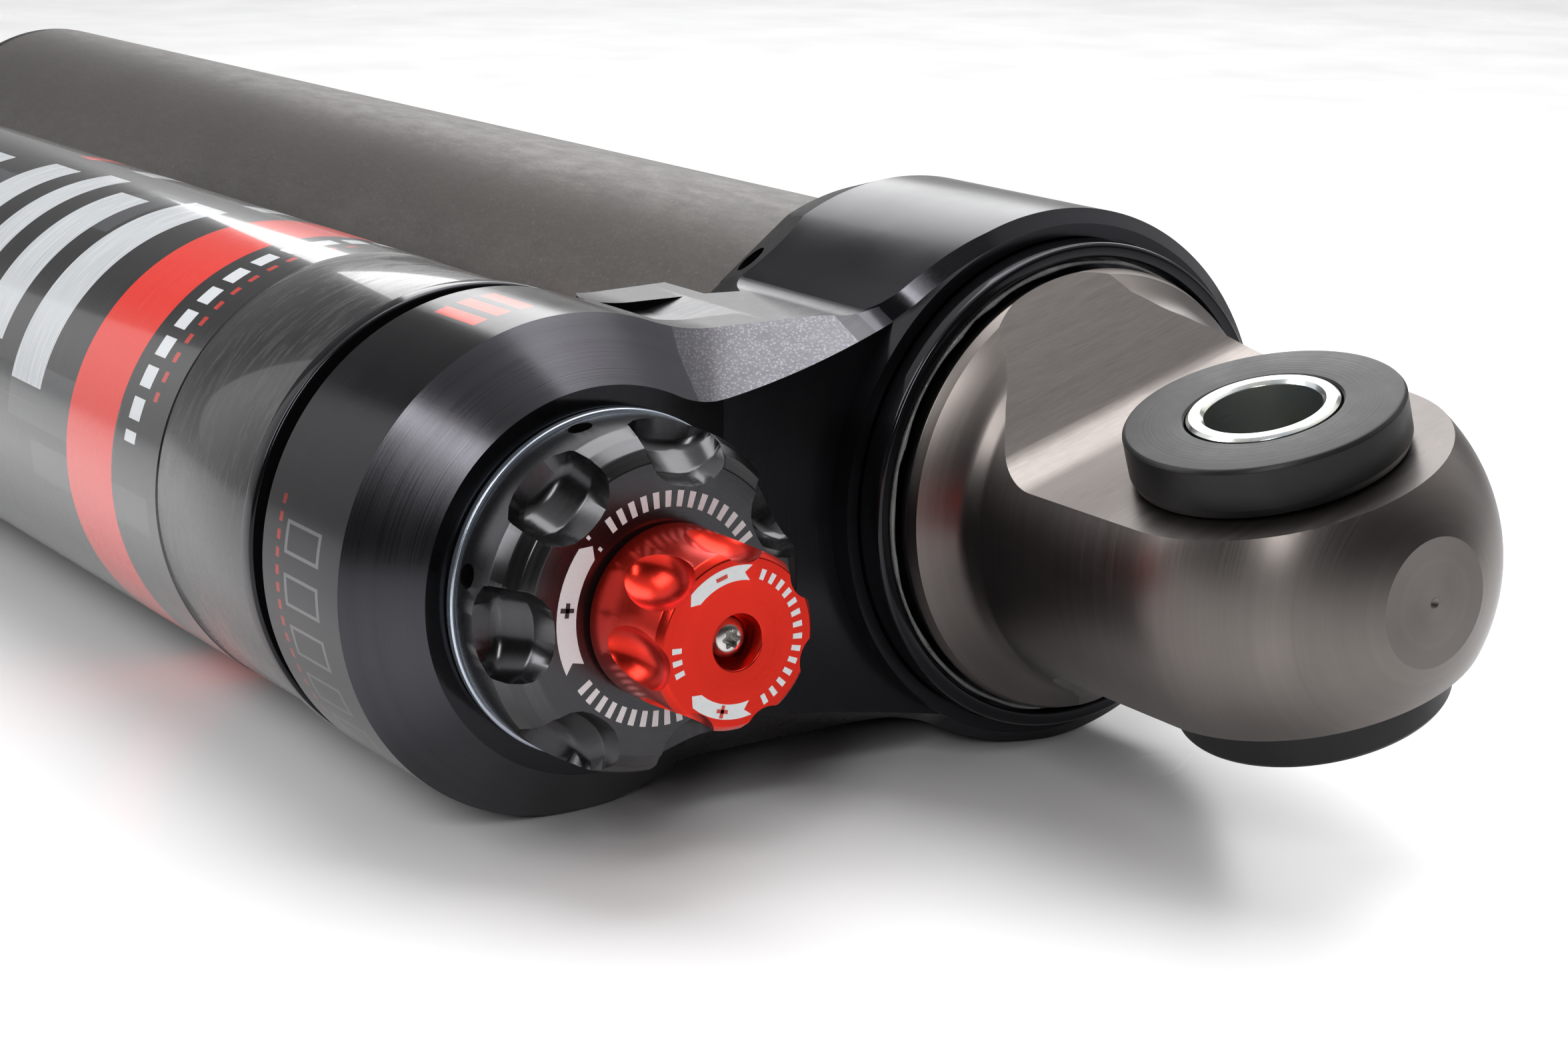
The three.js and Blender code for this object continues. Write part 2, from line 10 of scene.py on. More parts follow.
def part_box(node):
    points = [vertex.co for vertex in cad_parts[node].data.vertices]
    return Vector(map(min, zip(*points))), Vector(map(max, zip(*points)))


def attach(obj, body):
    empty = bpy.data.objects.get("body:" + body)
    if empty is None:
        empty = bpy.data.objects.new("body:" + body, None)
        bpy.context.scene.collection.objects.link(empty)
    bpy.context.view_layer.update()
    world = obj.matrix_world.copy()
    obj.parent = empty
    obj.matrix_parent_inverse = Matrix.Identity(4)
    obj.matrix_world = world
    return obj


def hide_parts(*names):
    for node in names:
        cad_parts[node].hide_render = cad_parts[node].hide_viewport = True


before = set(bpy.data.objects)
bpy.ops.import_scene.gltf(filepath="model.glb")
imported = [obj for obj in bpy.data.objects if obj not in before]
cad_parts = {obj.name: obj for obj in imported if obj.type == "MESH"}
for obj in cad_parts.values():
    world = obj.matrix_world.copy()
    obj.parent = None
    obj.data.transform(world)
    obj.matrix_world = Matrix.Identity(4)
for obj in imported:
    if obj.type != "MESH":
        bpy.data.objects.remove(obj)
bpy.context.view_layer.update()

MM = 0.001


# ---- frames: local X points out of the shock's upper end, and -X is the distance behind it (station)
def centre_of(node):
    low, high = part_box(node)
    return (low + high) / 2


UPPER_EYE = centre_of("upper_sleeve")
LOWER_EYE = centre_of("lower_sleeve")
RESERVOIR = Vector((UPPER_EYE.x, centre_of("reservoir_tube").y, centre_of("reservoir_tube").z))
EYE_TILT = math.radians(16.41)
BODY_FRAME = Matrix.Translation(UPPER_EYE)
RESERVOIR_FRAME = Matrix.Translation(RESERVOIR)
UPPER_FRAME = BODY_FRAME @ Matrix.Rotation(EYE_TILT, 4, "X")
LOWER_FRAME = (
    Matrix.Translation(LOWER_EYE) @ Matrix.Rotation(EYE_TILT, 4, "X") @ Matrix.Rotation(math.pi, 4, "Y")
)
SPACING = (UPPER_EYE.y - RESERVOIR.y) / MM  # between the two axes, across the floor
DROP = (UPPER_EYE.z - RESERVOIR.z) / MM  # of the reservoir's axis below the body's

# ---- dimensions shared by several pieces, in mm
BODY_RING = 40.7  # outer radii of the bridge's two rings
RESERVOIR_RING = 35.8
TUBE = 33.1  # outer radii of the body tube, the reservoir tube and the shaft
RESERVOIR_TUBE = 34.9
SHAFT = 11.1
EYE_FLAT = 14.8  # from an eye's middle to its milled flats
EYE_BORE = 14.6  # radius of the bore for the bushings
BALL = 28.3  # radius of an eye's ball end
BALL_FACE = 26.9  # from the eye's middle to the flat on the ball end


# ---- material building blocks --------------------------------------------------------------------
class Shader:
    """A Principled material and the few node patterns that the finishes here are made of."""

    def __init__(self, name, base, metallic=0.0, roughness=0.5, **sockets):
        self.material = bpy.data.materials.new(name)
        self.material.use_nodes = True
        self.tree = self.material.node_tree
        self.nodes = self.tree.nodes
        self.shader = self.nodes["Principled BSDF"]
        self.shader.inputs["Base Color"].default_value = (*base, 1)
        self.shader.inputs["Metallic"].default_value = metallic
        self.shader.inputs["Roughness"].default_value = roughness
        for key, value in sockets.items():
            self.shader.inputs[key.replace("_", " ")].default_value = value
        self.base = base
        self.colour = None
        self.normal = None

    def node(self, kind, **inputs):
        made = self.nodes.new(kind)
        for key, value in inputs.items():
            self.feed(made.inputs[key.replace("_", " ")], value)
        return made

    def feed(self, socket, value):
        if isinstance(value, bpy.types.NodeSocket):
            self.tree.links.new(value, socket)
        else:
            socket.default_value = value

    def math(self, operation, a, b=0.0, c=0.0, clamp=False):
        made = self.nodes.new("ShaderNodeMath")
        made.operation = operation
        made.use_clamp = clamp
        for socket, value in zip(made.inputs, (a, b, c)):
            self.feed(socket, value)
        return made.outputs[0]

    def times(self, a, b):
        return self.math("MULTIPLY", a, b)

    def point(self):
        return self.node("ShaderNodeTexCoord").outputs["Object"]

    def polar(self, axis=(0.0, 0.0)):
        """x, radius and angle (radians) about an axis along X, from the object's own coordinates."""
        split = self.node("ShaderNodeSeparateXYZ", Vector=self.point())
        y = self.math("SUBTRACT", split.outputs[1], axis[0])
        z = self.math("SUBTRACT", split.outputs[2], axis[1])
        radius = self.math("SQRT", self.math("ADD", self.times(y, y), self.times(z, z)))
        return split.outputs[0], radius, self.math("ARCTAN2", z, y)

    def vector(self, x=0.0, y=0.0, z=0.0):
        return self.node("ShaderNodeCombineXYZ", X=x, Y=y, Z=z).outputs[0]

    def noise(self, where, scale, detail=3.0, roughness=0.55):
        settings = {"Vector": where, "Scale": scale, "Detail": detail, "Roughness": roughness}
        return self.node("ShaderNodeTexNoise", **settings).outputs["Fac"]

    def scaled(self, where, sizes):
        made = self.node("ShaderNodeMapping", Vector=where)
        made.inputs["Scale"].default_value = sizes
        return made.outputs[0]

    def remap(self, value, low, high, to_low=0.0, to_high=1.0):
        made = self.node("ShaderNodeMapRange", Value=value)
        for key, number in (("From Min", low), ("From Max", high), ("To Min", to_low), ("To Max", to_high)):
            made.inputs[key].default_value = number
        return made.outputs[0]

    def mix(self, factor, a, b):
        made = self.nodes.new("ShaderNodeMix")
        made.data_type = "RGBA"
        self.feed(made.inputs[0], factor)
        for socket, value in ((made.inputs[6], a), (made.inputs[7], b)):
            self.feed(socket, (*value, 1) if isinstance(value, tuple) and len(value) == 3 else value)
        return made.outputs[2]

    def tint(self, factor, colour):
        """Lays a colour over what is there, by a 0 to 1 mask."""
        self.colour = self.mix(factor, self.colour or self.base, colour)
        self.tree.links.new(self.colour, self.shader.inputs["Base Color"])
        return self

    def veil(self, field, low, high, amount, colour):
        """Tints where a field rises from low to high, up to the given amount."""
        return self.tint(self.remap(field, low, high, 0.0, amount), colour)

    def around(self, field, amount, middle, clamp=False):
        """A value that varies with a 0 to 1 field about a middle."""
        return self.math("MULTIPLY_ADD", self.math("SUBTRACT", field, 0.5), amount, middle, clamp=clamp)

    def rough(self, value):
        self.tree.links.new(value, self.shader.inputs["Roughness"])
        return self

    def bump(self, height, distance, strength=1.0):
        made = self.node("ShaderNodeBump", Height=height)
        made.inputs["Strength"].default_value = strength
        made.inputs["Distance"].default_value = distance
        if self.normal:
            self.tree.links.new(self.normal, made.inputs["Normal"])
        self.normal = made.outputs[0]
        self.tree.links.new(self.normal, self.shader.inputs["Normal"])
        return self

    def radial_grain(self):
        tangent = self.nodes.new("ShaderNodeTangent")
        tangent.direction_type = "RADIAL"
        tangent.axis = "X"
        self.tree.links.new(tangent.outputs[0], self.shader.inputs["Tangent"])
        return self


def shaded(colour, gain, lift=0.0):
    """A colour made darker or lighter."""
    return tuple(min(1.0, c * gain + lift) for c in colour)


def between(shader, value, low, high):
    """A 0 or 1 mask that is 1 between two numbers."""
    above = shader.math("GREATER_THAN", value, low)
    below = shader.math("LESS_THAN", value, high)
    return shader.times(above, below)


def turned_metal(
    name, base, metallic, roughness, pitch=0.18, depth=0.002, grain=0.0, cloud=0.1, axis=(0, 0)
):
    """Metal cut on a lathe: fine rings along X on its sides, and concentric ones on its end faces."""
    s = Shader(name, base, metallic, roughness, Anisotropic=grain)
    x, radius, _ = s.polar(axis)
    rings = s.noise(s.vector(x, radius), 1.0 / (pitch * MM), 2.0, 0.7)
    wide = s.noise(s.vector(x, radius), 0.12 / (pitch * MM), 2.0)
    blotch = s.noise(s.point(), 55.0, 4.0)
    speck = s.noise(s.point(), 2600.0, 2.0)
    shade = s.math("MULTIPLY_ADD", rings, 0.5, s.times(wide, 0.5))
    s.veil(shade, 0.3, 0.7, 0.22, shaded(base, 1.9, 0.01))
    s.veil(blotch, 0.35, 0.75, cloud, shaded(base, 0.55))
    varied = s.around(blotch, 0.18, roughness)
    s.rough(s.around(rings, 0.16, varied, clamp=True))
    s.bump(rings, depth * MM).bump(speck, depth * 0.5 * MM)
    return s.radial_grain() if grain else s


def milled_metal(name, base, metallic, roughness, direction=(1, 0.03, 0.03), depth=0.002, speckle=0.0):
    """Metal cut on a mill: fine lines across the given coordinate, with faint tool marks and speckle."""
    s = Shader(name, base, metallic, roughness)
    where = s.scaled(s.point(), direction)
    lines = s.noise(where, 5200.0, 3.0, 0.65)
    marks = s.noise(where, 900.0, 2.0)
    blotch = s.noise(s.point(), 70.0, 4.0)
    cells = s.node("ShaderNodeTexVoronoi", Vector=s.point(), Scale=2100.0).outputs["Distance"]
    s.veil(lines, 0.35, 0.7, 0.25, shaded(base, 1.8, 0.012))
    s.veil(blotch, 0.35, 0.75, 0.3, shaded(base, 0.6))
    if speckle:
        s.tint(s.remap(cells, 0.05, 0.5, speckle, 0.0), shaded(base, 2.6, 0.05))
    varied = s.around(blotch, 0.2, roughness)
    s.rough(s.around(marks, 0.12, varied, clamp=True))
    s.bump(lines, depth * MM).bump(marks, depth * 2 * MM, 0.5)
    return s


def moulded(name, base, roughness, grain=0.02, ring_pitch=0.0):
    """Urethane or rubber: a soft grain, faint dust, and optional concentric facing marks about Z."""
    s = Shader(name, base, 0.0, roughness)
    fine = s.noise(s.point(), 1800.0, 4.0)
    dust = s.noise(s.point(), 160.0, 5.0, 0.65)
    s.veil(dust, 0.52, 0.8, 0.25, shaded(base, 2.2, 0.012))
    s.rough(s.around(dust, 0.3, roughness, clamp=True))
    s.bump(fine, grain * MM, 0.5)
    if ring_pitch:
        split = s.node("ShaderNodeSeparateXYZ", Vector=s.point())
        flat = s.vector(split.outputs[0], split.outputs[1])
        radius = s.node("ShaderNodeVectorMath", Vector=flat)
        radius.operation = "LENGTH"
        rings = s.noise(s.vector(radius.outputs["Value"]), 1.0 / (ring_pitch * MM), 1.0)
        s.bump(rings, 0.06 * MM, 0.6)
    return s


# ---- finishes ------------------------------------------------------------------------------------
black_turned = turned_metal("black_anodise_turned", (0.026, 0.026, 0.030), 0.9, 0.22, 0.22, 0.002, 0.35)
black_polished = turned_metal("black_anodise_polished", (0.022, 0.022, 0.025), 0.85, 0.13, 0.3, 0.0006)
black_milled = milled_metal("black_anodise_milled", (0.034, 0.034, 0.038), 0.9, 0.26, (1, 0.04, 0.04), 0.002)
black_chamfer = milled_metal(
    "black_anodise_chamfer", (0.074, 0.072, 0.080), 0.95, 0.28, (0.5, 0.08, 0.5), 0.0022, 0.4
)
chamfer_ring = turned_metal(
    "black_anodise_cone", (0.050, 0.049, 0.055), 0.95, 0.21, 0.20, 0.0035, axis=(-SPACING * MM, -DROP * MM)
)
body_chamfer = turned_metal("black_anodise_edge", (0.050, 0.049, 0.055), 0.95, 0.21, 0.20, 0.0025)
black_face = milled_metal("black_anodise_face", (0.014, 0.014, 0.016), 0.8, 0.12, (0.5, 1, 1), 0.0006)
# Painted shade: a near-black copy of the anodise with almost no specular, laid on the ring's rear cone in
# place of the dark reflection it shows.
painted_shade_black = milled_metal("black_anodise_painted_shade", (0.008, 0.008, 0.009), 0.0, 0.45, (0.5, 1, 1), 0.001)
painted_shade_black.shader.inputs["Specular IOR Level"].default_value = 0.08
grey_turned = turned_metal("grey_anodise_turned", (0.150, 0.134, 0.126), 1.0, 0.34, 0.16, 0.0022, 0.45)
grey_milled = milled_metal("grey_anodise_milled", (0.175, 0.158, 0.150), 1.0, 0.33, (1, 0.05, 1), 0.0025)
gunmetal = turned_metal("gunmetal_anodise", (0.058, 0.058, 0.062), 0.95, 0.28, 0.25, 0.0012, 0.3)
gunmetal_pocket = turned_metal("gunmetal_pocket", (0.062, 0.061, 0.064), 0.95, 0.21, 0.4, 0.0012)
red_turned = turned_metal("red_anodise", (0.56, 0.020, 0.010), 0.9, 0.24, 0.2, 0.0012, 0.2, 0.15)
pale_alloy = turned_metal("clear_anodise", (0.50, 0.56, 0.66), 0.9, 0.28, 0.2, 0.0015)
steel = turned_metal("stainless_steel", (0.56, 0.54, 0.52), 1.0, 0.24, 0.12, 0.0015, 0.2)
chrome = turned_metal("hard_chrome", (0.60, 0.61, 0.63), 1.0, 0.07, 0.5, 0.0003)
spring_steel = turned_metal("spring_steel", (0.36, 0.36, 0.38), 1.0, 0.28, 0.2, 0.001)
urethane = moulded("urethane", (0.008, 0.008, 0.0085), 0.40, 0.012, 0.55)
urethane.shader.inputs["Specular IOR Level"].default_value = 0.30
bump_urethane = moulded("bump_urethane", (0.020, 0.020, 0.021), 0.5, 0.03)
rubber = moulded("rubber_seal", (0.012, 0.012, 0.012), 0.55, 0.01)


def zinc_finish():
    """Bright zinc with a faint blue and straw passivation, in cloudy patches."""
    s = turned_metal("zinc_steel", (0.66, 0.68, 0.68), 1.0, 0.22, 0.14, 0.0015, 0.0, 0.2)
    cloud = s.noise(s.point(), 130.0, 3.0)
    s.veil(cloud, 0.42, 0.62, 0.35, (0.62, 0.62, 0.40))
    s.veil(s.noise(s.point(), 210.0, 3.0), 0.5, 0.68, 0.35, (0.42, 0.54, 0.68))
    return s


def clear_finish():
    """Clear sealant: glossy, slightly milky, with small bubbles."""
    s = Shader("clear_seal", (0.55, 0.56, 0.55), 0.0, 0.12, Transmission_Weight=0.7, IOR=1.45)
    lumps = s.noise(s.point(), 420.0, 4.0)
    s.veil(lumps, 0.45, 0.7, 0.5, (0.16, 0.16, 0.16))
    s.rough(s.remap(lumps, 0.3, 0.7, 0.05, 0.3))
    s.bump(lumps, 0.25 * MM)
    return s


def tube_finish():
    """The body tube: a matte, warm dark grey coat with a satin sparkle and faint drawn lines."""
    s = Shader("body_finish", (0.072, 0.066, 0.061), 0.55, 0.50)
    speck = s.noise(s.point(), 1500.0, 3.0, 0.7)
    patch = s.noise(s.scaled(s.point(), (0.35, 1, 1)), 330.0, 5.0, 0.75)
    broad = s.noise(s.point(), 24.0, 3.0)
    lines = s.noise(s.scaled(s.point(), (0.02, 1, 1)), 1400.0, 2.0)
    s.veil(patch, 0.35, 0.72, 0.35, (0.120, 0.111, 0.103))
    s.veil(speck, 0.55, 0.78, 0.5, (0.20, 0.185, 0.17))
    s.veil(broad, 0.4, 0.7, 0.3, (0.045, 0.042, 0.040))
    s.rough(s.remap(patch, 0.3, 0.75, 0.56, 0.40))
    s.bump(speck, 0.006 * MM).bump(lines, 0.002 * MM)
    return s


def film_finish():
    """The printed film on the reservoir: glossy black with a red band, slanted silver bars and dashes."""
    s = Shader("body_film", (0.012, 0.012, 0.013), 0.0, 0.20, Coat_Weight=0.6, Coat_Roughness=0.06)
    x, _, angle = s.polar()
    station = s.times(x, -1000.0)
    degrees = s.times(angle, 180.0 / math.pi)
    arc = s.times(angle, RESERVOIR_TUBE)  # mm round the tube, 0 on the side of the body
    brushed = s.noise(s.vector(s.times(x, 60.0), s.times(angle, 34.0)), 42.0, 3.0, 0.6)
    grain = s.noise(s.vector(s.times(x, 5200.0), s.times(angle, 2.0)), 1.0, 3.0, 0.7)
    silver = s.mix(s.remap(grain, 0.3, 0.7), (0.40, 0.42, 0.44), (0.74, 0.76, 0.78))
    silver = s.mix(s.remap(brushed, 0.35, 0.7, 0.0, 0.45), silver, (0.26, 0.28, 0.30))

    def block(low, high, start, end, slant=0.0):
        """A slanted block from one station to another, and from one angle to another in degrees."""
        leaning = s.math("MULTIPLY_ADD", degrees, slant, station) if slant else station
        return s.times(between(s, leaning, low, high), between(s, degrees, start, end))

    def together(masks):
        total = masks[0]
        for mask in masks[1:]:
            total = s.math("MAXIMUM", total, mask)
        return total

    shade = together([
        block(141, 186, 160, 176), block(128, 176, -180, -170), block(186, 200, 92, 118),
        block(240, 252, 108, 140), block(163, 179, 60, 84),
    ])
    s.tint(s.times(shade, 0.75), (0.060, 0.062, 0.066))
    blocks = together([
        block(168, 181, 92, 166, -0.03), block(189, 201, 100, 158, -0.03), block(209, 218, 92, 150, -0.03),
        block(226, 238, 96, 160, -0.03), block(252, 262, 100, 150, -0.03), block(274, 286, 92, 158, -0.03),
        block(168, 176, 56, 82, -0.03), block(214, 224, 56, 82, -0.03),
    ])
    s.tint(blocks, silver)
    red_blocks = together([block(240, 246, 60, 84, -0.03), block(294, 301, 96, 150, -0.03)])
    band = between(s, station, 141.5, 160.0)
    s.tint(s.math("MAXIMUM", band, red_blocks), (0.66, 0.026, 0.014))
    small = s.times(between(s, station, 133.5, 137.5), between(s, degrees, 72, 168))
    dashes = s.math("GREATER_THAN", s.math("FRACT", s.times(arc, 1 / 5.2)), 0.34)
    s.tint(s.times(small, dashes), (0.60, 0.62, 0.64))
    tiny = s.times(between(s, station, 129.6, 131.0), between(s, degrees, 84, 156))
    dots = s.math("GREATER_THAN", s.math("FRACT", s.times(arc, 1 / 3.4)), 0.5)
    s.tint(s.times(tiny, dots), (0.42, 0.03, 0.02))
    wave = s.noise(s.point(), 120.0, 3.0)
    s.rough(s.remap(grain, 0.3, 0.7, 0.16, 0.30))
    s.bump(grain, 0.0012 * MM).bump(wave, 0.012 * MM, 0.4)
    return s


def sleeve_film():
    """The plain brushed film at the front of the reservoir tube."""
    s = Shader("body_film_plain", (0.020, 0.020, 0.022), 0.35, 0.24, Coat_Weight=0.5, Coat_Roughness=0.05)
    x, _, angle = s.polar()
    rub = s.noise(s.vector(s.times(x, 260.0), s.times(angle, 1.4)), 3.0, 5.0, 0.7)
    fine = s.noise(s.vector(s.times(x, 40.0), s.times(angle, 60.0)), 30.0, 2.0)
    s.veil(rub, 0.48, 0.75, 0.7, (0.085, 0.083, 0.082))
    s.rough(s.remap(rub, 0.35, 0.7, 0.16, 0.36))
    s.bump(rub, 0.006 * MM).bump(fine, 0.002 * MM)
    return s


def ring_print_finish():
    """The reservoir ring's polished side, with faint outlined bars and short red dashes printed on it."""
    axis = (-SPACING * MM, -DROP * MM)
    s = turned_metal("black_anodise_printed", (0.020, 0.020, 0.023), 0.85, 0.17, 0.25, 0.0015, axis=axis)
    x, _, angle = s.polar(axis)
    station = s.times(x, -1000.0)
    round_angle = s.math("MODULO", s.math("ADD", s.times(angle, 180 / math.pi), 360.0), 360.0)
    outer = s.times(between(s, station, 67.5, 78.0), between(s, round_angle, 166, 226))
    bars = s.math("FRACT", s.times(s.math("SUBTRACT", round_angle, 166.0), 1 / 12.0))
    hollow = s.times(between(s, station, 68.3, 77.2), between(s, bars, 0.13, 0.62))
    gaps = between(s, bars, 0.06, 0.69)
    outline = s.times(s.times(outer, gaps), s.math("SUBTRACT", 1.0, hollow))
    s.tint(s.times(outline, 0.8), (0.16, 0.16, 0.165))
    dashes = s.math("GREATER_THAN", s.math("FRACT", s.times(round_angle, 1 / 4.0)), 0.45)
    red = s.times(between(s, station, 79.6, 80.6), between(s, round_angle, 160, 224))
    s.tint(s.times(red, dashes), (0.30, 0.03, 0.02))
    block = s.times(between(s, station, 68.5, 80.0), between(s, round_angle, 92, 110))
    stripes = s.math("GREATER_THAN", s.math("FRACT", s.times(round_angle, 1 / 6.0)), 0.4)
    s.tint(s.times(block, stripes), (0.42, 0.035, 0.02))
    return s


ring_print = ring_print_finish()
zinc = zinc_finish()
clear = clear_finish()
tube_paint = tube_finish()
printed_film = film_finish()
plain_film = sleeve_film()


def print_ink(name, colour):
    s = Shader(name, colour, 0.0, 0.42)
    speck = s.noise(s.point(), 2400.0, 3.0)
    s.veil(speck, 0.5, 0.75, 0.3, shaded(colour, 0.75))
    s.rough(s.remap(speck, 0.3, 0.7, 0.36, 0.5))
    s.bump(speck, 0.003 * MM)
    return s


white_ink = print_ink("white_print", (0.72, 0.73, 0.74))
dark_ink = print_ink("dark_print", (0.03, 0.03, 0.035))
red_ink = print_ink("red_print", (0.55, 0.04, 0.02))


# ---- mesh building blocks (all in mm, scaled to metres when the piece is finished) ----------------
def filleted(points, steps=5):
    """Rounds the corners of an outline. A point is (station, radius) or (station, radius, fillet)."""
    result = []
    for i, point in enumerate(points):
        fillet = point[2] if len(point) > 2 else 0.0
        if not fillet or i in (0, len(points) - 1):
            result.append((point[0], point[1]))
            continue
        here = Vector(point[:2])
        to_last = (Vector(points[i - 1][:2]) - here).normalized()
        to_next = (Vector(points[i + 1][:2]) - here).normalized()
        half = to_last.angle(to_next) / 2
        reach = fillet / math.tan(half)
        start = here + to_last * reach
        end = here + to_next * reach
        middle = here + (to_last + to_next).normalized() * (fillet / math.sin(half))
        first = start - middle
        turn = first.angle_signed(end - middle)
        for k in range(steps + 1):
            angle = -turn * k / steps
            spoke = Matrix.Rotation(angle, 2) @ first
            result.append(tuple(middle + spoke))
    return result


def mesh_object(name, vertices, faces):
    """An object made from points in mm, with doubled points merged and faces turned outwards."""
    mesh = bpy.data.meshes.new(name)
    mesh.from_pydata(vertices, [], faces)
    mesh.validate()
    made = bpy.data.objects.new(name, mesh)
    bpy.context.scene.collection.objects.link(made)
    work = bmesh.new()
    work.from_mesh(mesh)
    bmesh.ops.remove_doubles(work, verts=work.verts, dist=1e-5)
    bmesh.ops.recalc_face_normals(work, faces=work.faces)
    work.to_mesh(mesh)
    work.free()
    return made


def on_ring(station, radius, turn):
    """A point at a station, a radius and an angle (radians) about local X."""
    return -station, radius * math.cos(turn), radius * math.sin(turn)


def ring_faces(sides, count, closed=True):
    """The faces between neighbouring copies of an outline of count points, once round the axis."""
    faces = []
    for i in range(sides):
        j = (i + 1) % sides
        for k in range(count if closed else count - 1):
            m = (k + 1) % count
            faces.append((i * count + k, i * count + m, j * count + m, j * count + k))
    return faces


def lathe(name, outline, sides=128, closed=False):
    """A body of revolution about local X. A closed outline makes a ring, an open one a solid."""
    outline = filleted(outline + [outline[0]] if closed else outline)
    if closed:
        outline = outline[:-1]
    else:
        outline = [(outline[0][0], 0.0)] + outline + [(outline[-1][0], 0.0)]
    vertices = []
    for i in range(sides):
        angle = 2 * math.pi * i / sides
        vertices += [on_ring(station, radius, angle) for station, radius in outline]
    return mesh_object(name, vertices, ring_faces(sides, len(outline), closed))


def pipe(name, front, rear, inner, outer, edge=0.3, sides=128):
    """A plain ring with eased outer edges."""
    return lathe(name, [
        (front, (inner + outer) / 2), (front, outer, edge), (rear, outer, edge), (rear, inner, edge * 0.6),
        (front, inner, edge * 0.6),
    ], sides, closed=True)


def prism(name, outline, low, high, axis="X"):
    """An outline extruded along an axis. It is (y, z) for X, (x, z) for Y and (x, y) for Z."""
    count = len(outline)
    place = {
        "X": lambda a, b, h: (h, a, b),
        "Y": lambda a, b, h: (a, h, b),
        "Z": lambda a, b, h: (a, b, h),
    }[axis]
    vertices = [place(a, b, low) for a, b in outline] + [place(a, b, high) for a, b in outline]
    faces = [tuple(range(count)), tuple(range(count, 2 * count))]
    faces += [(i, (i + 1) % count, count + (i + 1) % count, count + i) for i in range(count)]
    return mesh_object(name, vertices, faces)


def arc(centre, radius, start, end, steps):
    """Points of an arc in a plane, angles in degrees."""
    points = []
    for i in range(steps + 1):
        angle = math.radians(start + (end - start) * i / steps)
        points.append((centre[0] + radius * math.cos(angle), centre[1] + radius * math.sin(angle)))
    return points


def rod(name, start, direction, radius, length, sides=32):
    """A plain cylinder used as a cutter."""
    made = prism(name, arc((0, 0), radius, 0, 360 - 360 / sides, sides - 1), 0, length, "Z")
    turn = Vector((0, 0, 1)).rotation_difference(Vector(direction)).to_matrix().to_4x4()
    made.data.transform(Matrix.Translation(start) @ turn)
    return made


def combine(target, others, operation="DIFFERENCE", solver="EXACT"):
    """Cuts other objects from the target, or joins them to it, and removes them."""
    for other in others:
        modifier = target.modifiers.new("cut", "BOOLEAN")
        modifier.operation = operation
        modifier.solver = solver
        modifier.object = other
        apply_modifiers(target)
        bpy.data.objects.remove(other)
    return target


def apply_modifiers(target):
    bpy.context.view_layer.update()
    evaluated = target.evaluated_get(bpy.context.evaluated_depsgraph_get())
    mesh = bpy.data.meshes.new_from_object(evaluated)
    target.modifiers.clear()
    target.data = mesh


def soften(target, width, segments=2, angle=30.0):
    """Rounds every sharp edge by a small bevel."""
    modifier = target.modifiers.new("edges", "BEVEL")
    modifier.width = width
    modifier.segments = segments
    modifier.limit_method = "ANGLE"
    modifier.angle_limit = math.radians(angle)
    modifier.use_clamp_overlap = True
    apply_modifiers(target)
    return target


def paint(target, finish, where):
    """Gives the faces for which where(centre in mm, normal) is true another finish."""
    target.data.materials.append(finish.material)
    index = len(target.data.materials) - 1
    for face in target.data.polygons:
        if where(face.center, face.normal):
            face.material_index = index


def finish_piece(made, finish, body, stands_for=(), place=BODY_FRAME, sharp=28.0, zones=()):
    """Shades, paints, scales and places a piece, and puts it on its body."""
    made.data.materials.clear()
    made.data.materials.append(finish.material)
    for zone_finish, where in zones:
        paint(made, zone_finish, where)
    made.data.transform(Matrix.Scale(MM, 4))
    for face in made.data.polygons:
        face.use_smooth = True
    made.data.set_sharp_from_angle(angle=math.radians(sharp))
    made.matrix_world = place
    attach(made, body)
    if stands_for:
        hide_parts(*stands_for)
    return made


def radius_of(point):
    return math.hypot(point.y, point.z)


# ---- bridge --------------------------------------------------------------------------------------
WEB_TOP = 26.6
WEB_BOTTOM = -36.0
EDGE = 61.5  # station of the big front chamfer's outer edge
FACE = 53.0  # station of the reservoir ring's and the web's front face
FACE_RING = 27.3  # radius where the chamfer meets that face
BOSS = 38.6  # radius of the body ring's flat front
TOP_JOIN = 135.7  # degrees round the body ring where the web's top and bottom run into it
BOTTOM_JOIN = 113.9
FLAT_ANGLE = 127.0  # of the flat milled on the ring's rear edge round the drilled hole
FLAT_TILT = 17.0
FLAT_STATION = 90.0  # where the flat stands FLAT_RADIUS from the axis
FLAT_RADIUS = 39.9
HOLE_ANGLE = 131.5
HOLE_STATION = 93.2
HOLE_RADIUS = 2.6
NOTCH_DEPTH = 1.4
NOTCH_SIDE = -58.5  # y of the notch's steep side, and of its floor's and its ramp's ends
NOTCH_FLOOR_END = -51
NOTCH_RAMP_END = -44


def broken_line(value, knots):
    """The result at a value on a broken line through a few (value, result) knots."""
    if value <= knots[0][0]:
        return knots[0][1]
    for (low, first), (high, second) in zip(knots, knots[1:]):
        if value <= high:
            return first + (second - first) * (value - low) / (high - low)
    return knots[-1][1]


def web_rear(y):
    """X of the web's back, which steps back beside the reservoir ring and then leans towards the body."""
    ramp = min(1.0, max(0.0, (y + 61.0) / 4.0))
    return -84.8 - 8.6 * ramp - 0.12 * min(25.0, max(0.0, y + 57.0))


